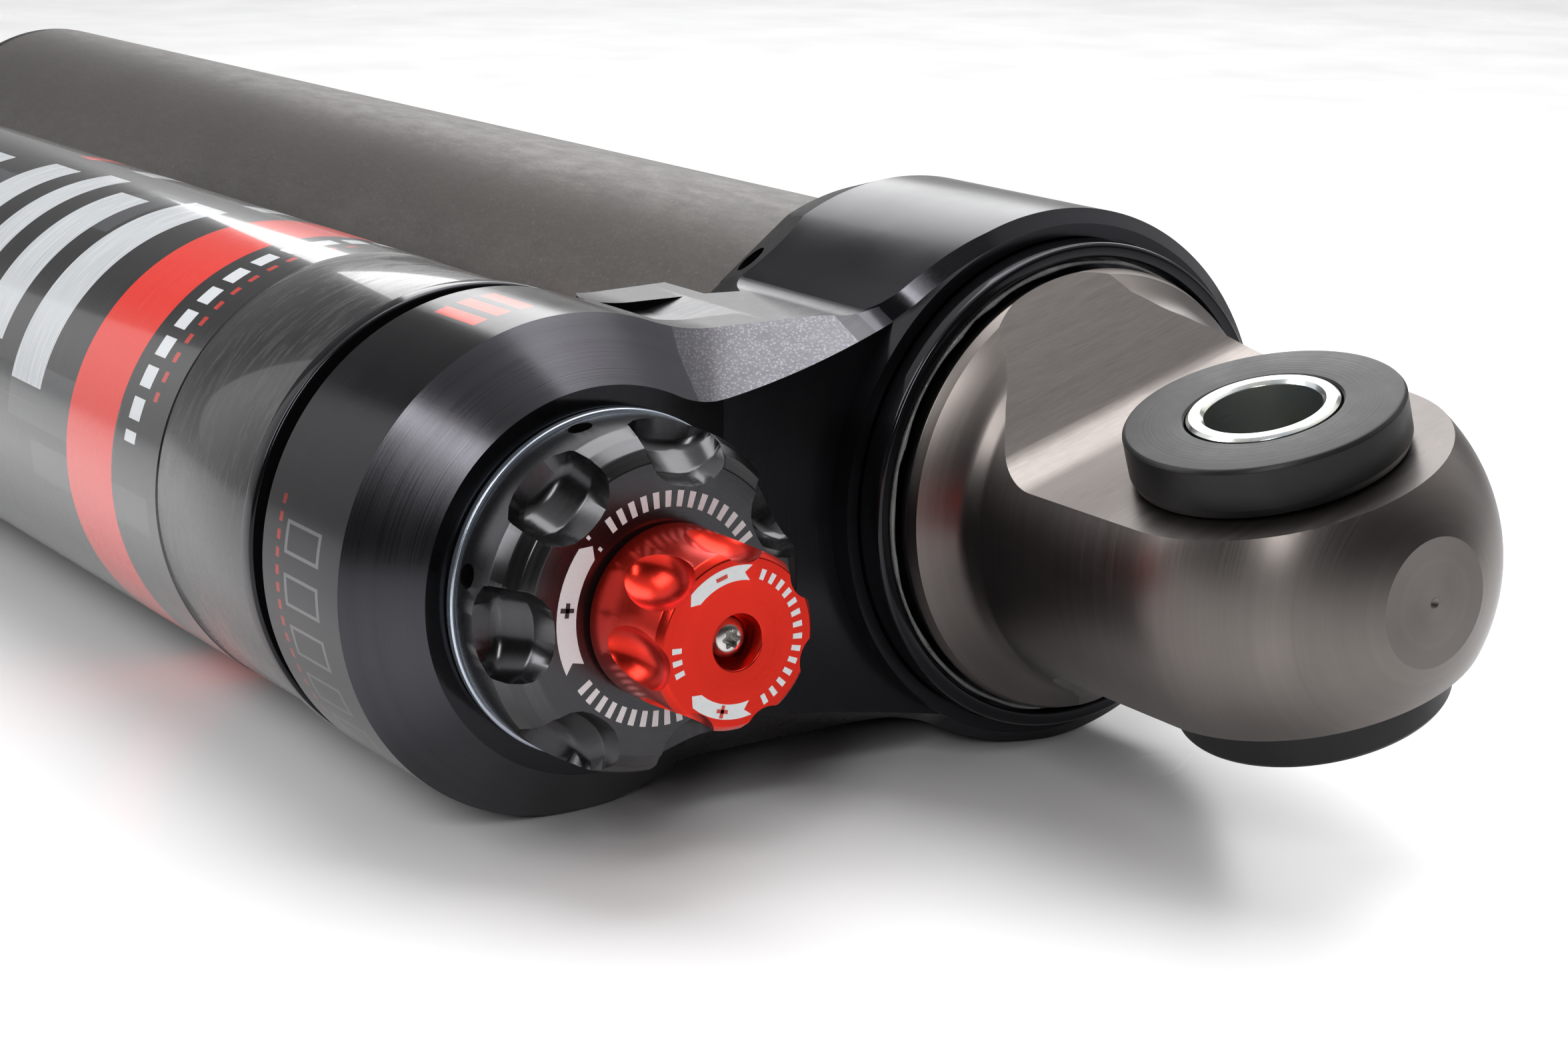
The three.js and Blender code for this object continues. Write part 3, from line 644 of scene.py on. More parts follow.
def web_edges():
    """Matching points of the chamfer's outer edge (x, y, z) and inner edge (y, z), all the way round."""
    centre = Vector((-SPACING, -DROP))
    outer, inner = [], []

    def flank(up, flat, inner_flat, outer_blend, inner_blend, fillet, join, lean, curl):
        """One side of the web, from the reservoir ring to the body ring."""
        def blend(radius, height, size):
            z = height + up * size
            return Vector((centre.x + math.sqrt((radius + size) ** 2 - (z - centre.y) ** 2), z))

        def sweep(middle, size, steps):
            away = (centre - middle).normalized()
            down = Vector((0, -up))
            for i in range(steps):
                t = i / steps
                yield middle + (away * (1 - t) + down * t).normalized() * size

        sides = []
        outer_middle = blend(RESERVOIR_RING, flat, outer_blend)
        inner_middle = blend(FACE_RING, inner_flat, inner_blend)
        for a, b in zip(sweep(outer_middle, outer_blend, 12), sweep(inner_middle, inner_blend, 12)):
            sides.append(((-EDGE, a.x, a.y), (b.x, b.y)))
        level = flat + up * fillet
        root = Vector((-math.sqrt((BODY_RING + fillet) ** 2 - level ** 2), level))
        end = BOSS * math.cos(math.radians(join + 1.3))
        for i in range(13):
            t = i / 12
            y = outer_middle.x + (root.x - outer_middle.x) * t
            x = -EDGE + 1.2 * max(0.0, 4 * t - 3) ** 2
            inner_y = inner_middle.x + (end - 6 - inner_middle.x) * t
            run = max(0.0, inner_y + 57.5)
            sides.append(((x, y, flat), (inner_y, inner_flat + up * (lean * run + curl * run * run))))
        away = (-root).normalized()
        for i in range(1, 9):
            t = i / 8
            spoke = (Vector((0, -up)) * (1 - t) + away * t).normalized()
            spot = (root + spoke * fillet) * (1 - 0.006 * t)
            inner_y = end - 6 + 6 * t
            run = inner_y + 57.5
            x = -EDGE + 1.2 + 4.7 * t
            sides.append(((x, spot.x, spot.y), (inner_y, inner_flat + up * (lean * run + curl * run * run))))
        return sides, (outer_middle, inner_middle)

    top, (top_outer, top_inner) = flank(1, WEB_TOP, 18.2, 30.0, 14.0, 6.0, TOP_JOIN, 0.155, 0.0042)
    low, (low_outer, low_inner) = flank(-1, WEB_BOTTOM, -27.6, 12.0, 16.0, 14.0, BOTTOM_JOIN, 0.12, 0.0012)

    def heading(spot):
        return math.degrees(math.atan2(spot.y - centre.y, spot.x - centre.x))

    steps = 96
    for i in range(steps):
        t = i / steps
        for edges, radius, start, end in (
            (outer, RESERVOIR_RING, heading(top_outer), 360 + heading(low_outer)),
            (inner, FACE_RING, heading(top_inner), 360 + heading(low_inner)),
        ):
            angle = math.radians(start + (end - start) * t)
            spot = centre + Vector((math.cos(angle), math.sin(angle))) * radius
            edges.append((-EDGE, spot.x, spot.y) if edges is outer else (spot.x, spot.y))
    for a, b in low:
        outer.append(a)
        inner.append(b)
    for degrees in (236, 212, 188, 164, 146):
        angle = math.radians(degrees)
        y, z = 36.5 * math.cos(angle), 36.5 * math.sin(angle)
        outer.append((-EDGE, y, z))
        inner.append((y, z))
    for a, b in reversed(top):
        outer.append(a)
        inner.append(b)
    return outer, inner


def build_web():
    """The web and the reservoir ring as one block, with the big chamfer round its front."""
    outer, inner = web_edges()
    count = len(outer)
    vertices = [(-FACE, y, z) for y, z in inner] + outer
    vertices += [(web_rear(y), y, z) for _, y, z in outer]
    faces = []
    for i in range(count):
        j = (i + 1) % count
        faces.append((i, j, count + j, count + i))
        faces.append((count + i, count + j, 2 * count + j, 2 * count + i))
    front = tuple(range(count))
    rear = tuple(range(2 * count, 3 * count))
    made = mesh_object("bridge_web", vertices, faces + [front, rear])
    work = bmesh.new()
    work.from_mesh(made.data)
    for fold in (-57.0, -61.0, -32.0):
        geometry = work.verts[:] + work.edges[:] + work.faces[:]
        bmesh.ops.bisect_plane(work, geom=geometry, plane_co=(0, fold, 0), plane_no=(0, 1, 0), dist=1e-4)
    bmesh.ops.recalc_face_normals(work, faces=work.faces)
    work.to_mesh(made.data)
    work.free()
    return made


def build_body_ring():
    """The ring round the body. Its front chamfer sweeps back to meet the web's at both joins."""
    sides = 240
    vertices = []
    for i in range(sides):
        degrees = 360 * i / sides
        past = degrees - TOP_JOIN if degrees < 180 else 360 - degrees - BOTTOM_JOIN
        edge = broken_line(past, [(-26, 50.5), (-12, 52.0), (-4, 53.4), (0, 55.6), (5, 61.5)])
        foot = broken_line(past, [(-26, 49.15), (-11, 50.3), (-4, 51.3), (0.9, 53.1), (4, 56.3)])
        angle = math.radians(degrees)
        outline = [(70, 30.0), (49.1, 30.0), (49.1, BOSS), (foot, BOSS), (edge, BODY_RING)]
        outline += filleted([(70, BODY_RING), (89.0, BODY_RING, 0.4), (97, 38.6, 0.4), (97, 30.0)])[1:]
        vertices += [on_ring(station, radius, angle) for station, radius in outline]
    return mesh_object("bridge_ring", vertices, ring_faces(sides, len(outline)))


def shifted(made, y=0.0, z=0.0):
    made.data.transform(Matrix.Translation((0, y, z)))
    return made


def build_bridge():
    """Web, body ring and neck joined, then the bores, the notch, the flat and the drilled hole cut."""
    made = combine(build_web(), [
        shifted(lathe("relief", [(84.8, 36.2), (110, 36.2)], 96), -SPACING, -DROP),
    ])
    neck = shifted(lathe("neck", [(70, 33.6), (88.6, 33.6), (89, 33.2)], 96), -SPACING, -DROP)
    made = combine(made, [build_body_ring(), neck], "UNION", "MANIFOLD")
    floor = WEB_TOP - NOTCH_DEPTH
    notch = prism("notch", [
        (NOTCH_SIDE, floor), (NOTCH_FLOOR_END, floor), (NOTCH_RAMP_END, WEB_TOP),
        (NOTCH_RAMP_END, WEB_TOP + 6), (NOTCH_SIDE, WEB_TOP + 6),
    ], -84.0, -68.7)
    flat = prism("flat", [(-16, 0), (16, 0), (16, 9), (-16, 9)], -14, 7)
    flat.data.transform(
        Matrix.Rotation(math.radians(FLAT_ANGLE - 90), 4, "X")
        @ Matrix.Translation((-FLAT_STATION, 0, FLAT_RADIUS))
        @ Matrix.Rotation(math.radians(-FLAT_TILT), 4, "Y")
    )
    angle = math.radians(HOLE_ANGLE)
    outward = Vector((-0.3, 0.95 * math.cos(angle), 0.95 * math.sin(angle)))
    mouth = Vector(on_ring(HOLE_STATION, 38.9, angle))
    hole = rod("hole", mouth - outward * 3.5, outward, HOLE_RADIUS, 12)
    cutters = [
        lathe("body_bore", filleted([(40, 31.0), (81.7, 31.0), (81.7, 33.4), (110, 33.4)]), 128),
        lathe("ring_seat", [(40, 36.8), (50.2, 36.8)], 128),
        shifted(lathe("reservoir_bore", [(40, 18.3), (66, 18.3), (66, 24), (81.7, 24), (81.7, 31.9),
                                         (110, 31.9)], 96), -SPACING, -DROP),
        notch,
        flat,
        hole,
    ]
    made = combine(made, cutters, "DIFFERENCE", "MANIFOLD")
    made.name = "bridge_body"
    return made


def from_reservoir(point):
    return math.hypot(point.y + SPACING, point.z + DROP)


def chamfered(point, normal):
    return 0.3 < normal.x < 0.92 and point.x < -49.1


finish_piece(
    build_bridge(), black_milled, "body", ["bridge"],
    zones=[
        (black_turned, lambda p, n: radius_of(p) < 40.75 and from_reservoir(p) > 36),
        (ring_print, lambda p, n: from_reservoir(p) < 35.85 and p.y < -56 and abs(n.x) < 0.3),
        (black_chamfer, chamfered),
        (chamfer_ring, lambda p, n: chamfered(p, n) and p.y < -60.5),
        (body_chamfer, lambda p, n: chamfered(p, n) and radius_of(p) < 40.8),
        (black_face, lambda p, n: n.x > 0.92 and radius_of(p) > 40.9),
        # painted shade: the rear cone faces get the near-black, hardly reflective copy of the anodise
        (painted_shade_black, lambda p, n: -0.45 < n.x < -0.15 and p.x < -88 and 33.6 < radius_of(p) < 40.8),
    ],
    sharp=13.0,
)

lock_ring = lathe("cap_lock_ring_turned", [
    (46.5, 34.2), (44.5, 34.2, 0.5), (44.5, 36.4, 0.7), (48.8, 36.5, 0.2), (48.8, 34.2),
], 160, closed=True)
finish_piece(lock_ring, black_polished, "body", ["cap_lock_ring"])


def build_bead():
    """A thin bead of clear sealant, a little uneven along its length."""
    dice = random.Random(7)
    lumps = [dice.uniform(-1, 1) for _ in range(60)]
    sides, section = 240, 8
    vertices = []
    for i in range(sides):
        angle = 2 * math.pi * i / sides
        spot = i * len(lumps) / sides
        low = lumps[int(spot) % len(lumps)]
        high = lumps[(int(spot) + 1) % len(lumps)]
        lump = low + (high - low) * (spot % 1)
        size = 0.42 + 0.14 * lump
        for k in range(section):
            turn = 2 * math.pi * k / section
            station = 45.2 - 0.25 * lump + size * math.cos(turn)
            radius = 33.5 + 0.08 * lump + size * 0.8 * math.sin(turn)
            vertices.append(on_ring(station, radius, angle))
    return mesh_object("cap_seal_bead", vertices, ring_faces(sides, section))


finish_piece(build_bead(), clear, "body", ["cap_seal_ring"], sharp=60)


# ---- eyes ----------------------------------------------------------------------------------------
def flat_cutter(name, up):
    """The milled relief over one flat of an eye: floor, fillet and a wall that leans back."""
    wall, fillet, corner = 48.8, 10.0, -27.1
    tangent = fillet * math.tan(math.radians(wall / 2))
    far = 60.0
    outline = [(far, EYE_FLAT), (far, far), (corner - (far - EYE_FLAT) / math.tan(math.radians(wall)), far)]
    outline += arc((corner + tangent, EYE_FLAT + fillet), fillet, 270 - wall, 270, 14)
    outline = [(x, up * z) for x, z in outline]
    return prism(name, outline, -45, 45, "Y")


def build_eye(name, outline):
    """An eye turned about local X, with a flat milled on each side and the bore across it."""
    dimple = [(-BALL_FACE + 0.7, 0.0), (-BALL_FACE, 0.75)]
    points = arc((0, 0), BALL, math.degrees(math.acos(BALL_FACE / BALL)), 90, 26)
    profile = dimple + [(-x, r) for x, r in points] + outline
    made = lathe(name, profile, 192)
    combine(made, [
        flat_cutter("upper_cut", 1),
        flat_cutter("lower_cut", -1),
        rod("pin_bore", (0, 0, -40), (0, 0, 1), EYE_BORE, 80, 96),
    ])
    return made


def eye_zones(point, normal):
    """The milled floor, fillet and wall, which carry no turned rings."""
    return abs(point.z) > EYE_FLAT - 0.05 and abs(normal.y) < 0.04 and abs(normal.z) > 0.3


upper_eye = build_eye("upper_eye_turned", [
    (32.5, 28.0, 6), (35.5, 28.5, 6), (38.5, 30.2), (41, 32.4), (42.6, 33.0, 0.5), (44.5, 32.4, 0.3),
    (46.5, 30.7), (74, 30.7),
])
combine(upper_eye, [rod("wrench_recess", (-86, 0, 0), (1, 0, 0), 4.5, 24, 6)])
finish_piece(upper_eye, grey_turned, "body", ["upper_eye_cap"], UPPER_FRAME, sharp=14,
             zones=[(grey_milled, eye_zones)])
lower_eye = build_eye("lower_eye_turned", [
    (12, 25.6, 8), (20, 22.2, 10), (27, 19.6, 10), (36.6, 18.5, 0.8), (38.4, 17),
])
combine(lower_eye, [lathe("shaft_socket", [(20.4, SHAFT + 0.3), (60, SHAFT + 0.3)], 64)])
finish_piece(lower_eye, grey_turned, "shaft", ["lower_eye"], LOWER_FRAME, sharp=14,
             zones=[(grey_milled, eye_zones)])


def build_bushing(name, up):
    """One half of a flanged bushing: lathe marks on its face, eased edges, about local Z."""
    made = lathe(name, [
        (0.3, 12.5), (0.3, 10.66), (21.9, 10.66), (22.2, 10.96, 0.2), (22.2, 18.6, 0.5), (21.6, 19.0, 0.4),
        (16.3, 19.0, 0.6), (15.1, 18.5, 0.2), (15.1, 14.3), (0.3, 14.3),
    ], 144, closed=True)
    made.data.transform(Matrix.Rotation(math.radians(90 * up), 4, "Y"))
    return made


def build_sleeve(name):
    """A zinc-plated steel sleeve with chamfered ends, about local Z."""
    made = lathe(name, [
        (0, 10.36), (22.1, 10.36, 0.1), (22.5, 9.9, 0.15), (22.5, 8.5, 0.15), (22.0, 7.94, 0.15),
        (-22.0, 7.94, 0.15), (-22.5, 8.5, 0.15), (-22.5, 9.9, 0.15), (-22.1, 10.36, 0.1),
    ], 128, closed=True)
    made.data.transform(Matrix.Rotation(math.radians(90), 4, "Y"))
    return made


for end, place, body in (("upper", UPPER_FRAME, "body"), ("lower", LOWER_FRAME, "shaft")):
    # the lower eye's frame is turned over, so its top bushing lies along local -Z
    top = 1 if end == "upper" else -1
    for side, up in (("top", top), ("bottom", -top)):
        half = build_bushing(f"{end}_bushing_{side}_moulded", up)
        finish_piece(half, urethane, body, [f"{end}_bushing_{side}"], place)
    sleeve = build_sleeve(f"{end}_sleeve_plated")
    finish_piece(sleeve, zinc, f"{end}_sleeve", [f"{end}_sleeve"], place)

# ---- body tube, seal head end, shaft ---------------------------------------------------------------
tube = lathe("body_tube_drawn", [
    (200, 29.8), (82, 29.8), (82, TUBE, 0.4), (449.5, TUBE, 0.5), (449.5, 29.8),
], 192, closed=True)
finish_piece(tube, tube_paint, "body", ["body_tube"])

end_cap = lathe("body_end_cap_turned", [
    (450, 17.2), (447.2, 17.2), (447.2, 29.5), (449.8, 29.5), (449.8, TUBE, 0.3), (453, TUBE, 1.0),
    (453, 27.5, 0.2), (452.2, 27.0, 0.2), (452.2, 20.5, 0.2), (453, 20.0, 0.2), (453, 17.2, 0.3),
], 160, closed=True)
pins = []
for k in range(6):
    turn = math.radians(60 * k + 15)
    pins.append(rod(f"pin{k}", on_ring(460, 23.7, turn), (1, 0, 0), 1.6, 10.5, 20))
combine(end_cap, pins)
finish_piece(end_cap, black_turned, "body", ["body_end_cap"])

wiper = lathe("shaft_wiper_moulded", [
    (447.4, 14), (447.4, 12.4), (452.8, 11.4, 0.2), (453.4, 13.0, 0.4), (452.9, 14.4, 0.4), (452.9, 16.9),
    (447.4, 16.9),
], 96, closed=True)
finish_piece(wiper, rubber, "body", ["shaft_wiper"])

shaft = lathe("shaft_chromed", [
    (361, 5.5), (361.8, 6.3), (404, 6.3), (404, SHAFT, 0.5), (789.3, SHAFT, 0.4),
], 128)
finish_piece(shaft, chrome, "shaft", ["shaft"])

bump_stop = lathe("bump_stop_moulded", [
    (740, 11.4), (734, 11.4, 0.8), (734, 16, 1.6), (737, 18.5, 2.0), (743, 19, 1.5), (746, 17, 1.5),
    (749, 19.5, 2.0), (757, 21, 2.0), (760, 20.5, 0.8), (760, 11.4),
], 144, closed=True)
finish_piece(bump_stop, bump_urethane, "shaft", ["bump_stop"])

cup = lathe("bump_stop_cup_turned", [
    (761, 11.4), (760.3, 11.4), (760.3, 21.5), (757, 21.8), (757, 24, 0.6), (763, 23.5, 0.8),
    (763, 11.4, 0.3),
], 144, closed=True)
finish_piece(cup, black_turned, "shaft", ["bump_stop_cup"])


def build_jam_nut():
    """A thin hexagonal nut with chamfered corners and a chamfered bore."""
    made = prism("jam_nut_hex", arc((0, 0), 17.5, 0, 300, 5), -771.3, -763.3)
    blank = lathe("jam_nut_turned", [(763.3, 15.4), (764.6, 17.6), (770, 17.6), (771.3, 15.4)], 96)
    combine(made, [blank], "INTERSECT")
    combine(made, [lathe("bore", [(755, 13.4), (763.3, 12.2), (764.2, 11.4), (780, 11.4)], 64)])
    return made


finish_piece(build_jam_nut(), zinc, "shaft", ["shaft_jam_nut"])

# ---- reservoir -----------------------------------------------------------------------------------
reservoir = lathe("reservoir_tube_drawn", [
    (200, 30.2), (82, 30.2), (82, 31.6, 0.2), (92.9, 31.6), (92.9, RESERVOIR_TUBE - 0.1, 0.6),
    (123.9, RESERVOIR_TUBE - 0.1), (124.2, RESERVOIR_TUBE - 0.18), (124.4, RESERVOIR_TUBE),
    (304.5, RESERVOIR_TUBE), (304.7, RESERVOIR_TUBE - 0.15), (312, RESERVOIR_TUBE - 0.15, 0.8),
    (312, 30.2, 0.3),
], 192, closed=True)
finish_piece(
    reservoir, black_turned, "body", ["reservoir_tube"], RESERVOIR_FRAME,
    zones=[
        (plain_film, lambda p, n: -124.2 < p.x < -93.2 and radius_of(p) > 34),
        (printed_film, lambda p, n: -304.6 < p.x < -124.2 and radius_of(p) > 34),
    ],
)
reservoir_lock = pipe("reservoir_lock_ring_turned", 89.3, 92.7, 31.9, 35.6, 0.6, 160)
finish_piece(reservoir_lock, black_polished, "body", ["reservoir_lock_ring"],
             RESERVOIR_FRAME)

end_plug = lathe("reservoir_end_cap_turned", [
    (295, 4.8), (290, 4.8), (290, 29.9, 0.4), (294, 29.9), (294, 27.3), (298, 27.3), (298, 29.9),
    (306, 29.9, 0.3), (306, 20, 0.4), (301, 18, 0.6), (301, 8), (299, 8), (299, 4.8),
], 160, closed=True)
finish_piece(end_plug, black_turned, "body", ["reservoir_end_cap"], RESERVOIR_FRAME)
wire = lathe("reservoir_wire_ring_drawn", [(-x, r) for x, r in arc((-307.8, 28.45), 1.44, 0, 330, 11)],
             160, closed=True)
finish_piece(wire, spring_steel, "body", ["reservoir_wire_ring"], RESERVOIR_FRAME)
valve = lathe("gas_valve_turned", [
    (287, 2.6), (288.2, 4.5), (299.3, 4.5), (299.3, 7, 0.3), (302.5, 7, 0.5), (302.5, 3.9), (308, 3.9, 0.3),
    (308, 2.5),
], 64)
finish_piece(valve, zinc, "body", ["gas_valve"], RESERVOIR_FRAME)
valve_cap = lathe("gas_valve_cap_moulded", [
    (305, 4.2), (303, 4.2, 0.2), (303, 6.2, 0.4), (311, 6.2, 0.8), (311.8, 5.2, 0.5), (311.8, 0.02),
    (308.4, 0.02), (308.4, 4.2),
], 64, closed=True)
grips = []
for k in range(18):
    turn = math.radians(20 * k)
    grips.append(rod(f"grip{k}", on_ring(310, 6.5, turn), (1, 0, 0), 0.5, 6, 10))
combine(valve_cap, grips)
finish_piece(valve_cap, gunmetal, "body", ["gas_valve_cap"], RESERVOIR_FRAME)

# ---- compression adjuster ------------------------------------------------------------------------
housing = lathe("adjuster_housing_turned", [
    (50, 2.8), (43.6, 2.8, 0.2), (43.6, 9, 0.4), (51.3, 9), (51.3, 24.4, 0.3), (52.7, 24.4, 0.3),
    (52.7, 18), (57.9, 18), (57.9, 15.6), (61.1, 15.6), (61.1, 18), (66, 18, 0.4), (66, 4.6), (82, 4.6, 0.4),
    (82, 2.8),
], 160, closed=True)
finish_piece(housing, pale_alloy, "body", ["adjuster_housing"], RESERVOIR_FRAME)

POCKETS = 7
POCKET_FIRST = 28.0
SCREW_STATION = 48.5
SCREW_ANGLES = (105.0, 167.0)


def build_pocket(name, degrees):
    """A thumb pocket's cutter: a ball-ended slot that runs out through the knob's rim."""
    points = filleted([
        (30.0, 15.8), (37.5, 16.6), (42.0, 17.4, 1.8), (46.2, 20.2, 2.2), (46.6, 32.0), (30.0, 32.0),
    ], 6)
    half, steps = 7.6, 10
    vertices, faces = [], []
    for k in range(steps + 1):
        across = -1 + 2 * k / steps
        lift = 1 - math.sqrt(max(0.0, 1 - abs(across) ** 2.6))
        for station, radius in points:
            inner = radius + lift * (26.5 - radius) if radius < 26.5 else radius
            depth = 37.0 + (station - 37.0) * (1 - 0.75 * lift) if station > 37.0 else station
            vertices.append((-depth, inner, across * half))
    count = len(points)
    for k in range(steps):
        for m in range(count):
            n = (m + 1) % count
            faces.append((k * count + m, k * count + n, (k + 1) * count + n, (k + 1) * count + m))
    faces.append(tuple(range(count)))
    faces.append(tuple(range(steps * count, (steps + 1) * count)))
    made = mesh_object(name, vertices, faces)
    made.data.transform(Matrix.Rotation(math.radians(degrees), 4, "X"))
    return made


def build_knob():
    """The large knob: a turned cup with seven thumb pockets and two set-screw holes."""
    made = lathe("high_speed_knob_machined", [
        (40, 4.3), (37.5, 4.3, 0.2), (37.5, 20.2, 0.6), (38.6, 22.0, 1.0), (40.5, 23.2, 1.5),
        (43, 24.0, 1.5), (51.0, 24.0, 0.4), (51.0, 9.3), (43.3, 9.3), (43.3, 4.3),
    ], 192, closed=True)
    cutters = [build_pocket(f"pocket{k}", POCKET_FIRST + 360 / POCKETS * k) for k in range(POCKETS)]
    for degrees in SCREW_ANGLES:
        turn = math.radians(degrees)
        out = Vector((0, math.cos(turn), math.sin(turn)))
        start = out * 12 + Vector((-SCREW_STATION, 0, 0))
        cutters.append(rod("screw_hole", start, out, 1.7, 16, 28))
    combine(made, cutters)
    return made


def pocket_zone(point, normal):
    """The walls of the thumb pockets, between the knob's face and its rim."""
    return 15.5 < radius_of(point) < 23.6 and -46.9 < point.x < -37.8 and normal.x < 0.95


knob = build_knob()
soften(knob, 0.28, 2, 40)
finish_piece(knob, gunmetal, "high_speed_knob", ["high_speed_knob"], RESERVOIR_FRAME,
             sharp=35, zones=[(gunmetal_pocket, pocket_zone)])

for number, degrees in enumerate(SCREW_ANGLES, 1):
    turn = math.radians(degrees)
    out = Vector((0, math.cos(turn), math.sin(turn)))
    start = out * 10 + Vector((-SCREW_STATION, 0, 0))
    screw = rod(f"knob_set_screw_{number}_socket", start, out, 1.4, 8, 32)
    socket = rod("socket", out * 15.5 + Vector((-SCREW_STATION, 0, 0)), out, 0.75, 4, 6)
    combine(screw, [socket])
    finish_piece(screw, spring_steel, "high_speed_knob", [f"knob_set_screw_{number}"],
                 RESERVOIR_FRAME)


def print_marks(name, shapes, front, thickness=0.05):
    """Thin printed marks on a knob's face. Each shape is a closed outline of (radius, degrees)."""
    vertices, faces = [], []
    for shape in shapes:
        first, count = len(vertices), len(shape)
        for station in (front - thickness, front + 0.02):
            for radius, degrees in shape:
                vertices.append(on_ring(station, radius, math.radians(degrees)))
        faces.append(tuple(range(first, first + count)))
        faces.append(tuple(range(first + count, first + 2 * count)))
        for i in range(count):
            j = (i + 1) % count
            faces.append((first + i, first + j, first + count + j, first + count + i))
    return mesh_object(name, vertices, faces)


def band_shape(inner, outer, start, end, point=0.0, tail=0.0):
    """An arc-shaped bar with an optional arrow point at its end and a notched tail at its start."""
    steps = 14
    span = [start + (end - start) * i / steps for i in range(steps + 1)]
    middle = (inner + outer) / 2
    shape = [(outer, d) for d in span]
    if point:
        shape.append((middle, end + point))
    shape += [(inner, d) for d in reversed(span)]
    if tail:
        shape.append((middle, start + tail))
    return shape


def cross_shape(radius, degrees, size, plus=True):
    """A plus or a minus sign centred on a radius and an angle, drawn along the arc."""
    reach = math.degrees(size / radius)
    thin = 0.3
    bar = [(radius + size * thin, degrees - reach), (radius + size * thin, degrees + reach),
           (radius - size * thin, degrees + reach), (radius - size * thin, degrees - reach)]
    if not plus:
        return [bar]
    narrow = reach * thin
    post = [(radius + size, degrees - narrow), (radius + size, degrees + narrow),
            (radius - size, degrees + narrow), (radius - size, degrees - narrow)]
    return [bar, post]


high_marks = [band_shape(13.5, 16.4, 204, 142, -5.0, -4.0)]
high_marks += [band_shape(15.9, 16.5, 136.5 - 0.3, 134.5), band_shape(13.4, 14.0, 136.5, 134.5)]
high_marks += [band_shape(13.9, 16.1, d, d + 3.4) for d in range(30, 126, 7)]
high_marks += [band_shape(13.9, 16.1, d, d + 3.4) for d in range(214, 306, 7)]
finish_piece(print_marks("high_speed_knob_marks", high_marks, 37.5), white_ink,
             "high_speed_knob", (), RESERVOIR_FRAME)
finish_piece(print_marks("high_speed_knob_sign", cross_shape(14.95, 172, 1.0), 37.44), dark_ink,
             "high_speed_knob", (), RESERVOIR_FRAME)

RED_FRONT = 19.8
SCOOPS = 7
SCOOP_FIRST = 85.0


def build_red_knob():
    """The small knob: seven oval scoops in its side, each just breaking through the front edge."""
    made = lathe("low_speed_knob_machined", [
        (24.5, 1.8), (24.5, 3.73), (RED_FRONT, 3.73, 0.25), (RED_FRONT, 11.2, 0.4), (20.7, 12.0, 0.6),
        (36.6, 12.0, 0.6), (37.2, 11.2), (37.2, 4.0), (43.0, 4.0), (43.0, 1.8),
    ], 192, closed=True)
    scoops = []
    for k in range(SCOOPS):
        oval = [(-x, r) for x, r in arc((0, 0), 1.0, 0, 180, 24)][1:-1]
        scoop = lathe(f"scoop{k}", oval, 48)
        scoop.data.transform(Matrix.Diagonal((7.6, 4.6, 4.1, 1)))
        scoop.data.transform(Matrix.Translation((-24.9, 0, 13.3)))
        scoop.data.transform(Matrix.Rotation(math.radians(SCOOP_FIRST + 360 / SCOOPS * k - 90), 4, "X"))
        scoops.append(scoop)
    combine(made, scoops)
    return made


red_knob = build_red_knob()
soften(red_knob, 0.14, 2, 25)
finish_piece(red_knob, red_turned, "low_speed_knob", ["low_speed_knob"],
             RESERVOIR_FRAME, sharp=35)
low_marks = [band_shape(8.2, 10.2, 78, 134, 7.0, 6.0), band_shape(8.2, 10.2, 282, 228, -7.0, -6.0)]
low_marks += [band_shape(8.5, 9.9, d, d + 4.5) for d in range(-66, 70, 10)]
low_marks += [band_shape(8.5, 9.9, d, d + 4.5) for d in (176, 186, 196)]
finish_piece(print_marks("low_speed_knob_marks", low_marks, RED_FRONT, 0.04), white_ink,
             "low_speed_knob", (), RESERVOIR_FRAME)
signs = cross_shape(9.2, 106, 0.85, plus=False) + cross_shape(9.2, 255, 0.85)
finish_piece(print_marks("low_speed_knob_signs", signs, RED_FRONT - 0.05, 0.03), red_ink,
             "low_speed_knob", (), RESERVOIR_FRAME)


def build_button_screw():
    """A button-head screw with a six-lobed socket."""
    made = lathe("low_speed_knob_screw_machined", [
        (21.3, 1.2), (21.5, 1.9, 1.5), (22.4, 2.85, 1.0), (24.2, 2.9), (24.2, 1.5), (34, 1.5, 0.3),
    ], 96)
    lobes = []
    for i in range(72):
        turn = 2 * math.pi * i / 72
        radius = 1.18 + 0.2 * math.cos(6 * turn)
        lobes.append((radius * math.cos(turn), radius * math.sin(turn)))
    combine(made, [prism("lobes", lobes, -23.2, -20.0)])
    return made


finish_piece(build_button_screw(), steel, "low_speed_knob", ["low_speed_knob_screw"],
             RESERVOIR_FRAME)

# ---- the CAD nodes that stay, with their own finishes ----------------------------------------------
body_axis = (UPPER_EYE.y, UPPER_EYE.z)
reservoir_axis = (RESERVOIR.y, RESERVOIR.z)


def inner(name, base, roughness, axis, metallic=1.0):
    return turned_metal(name, base, metallic, roughness, 0.25, 0.0015, axis=axis)


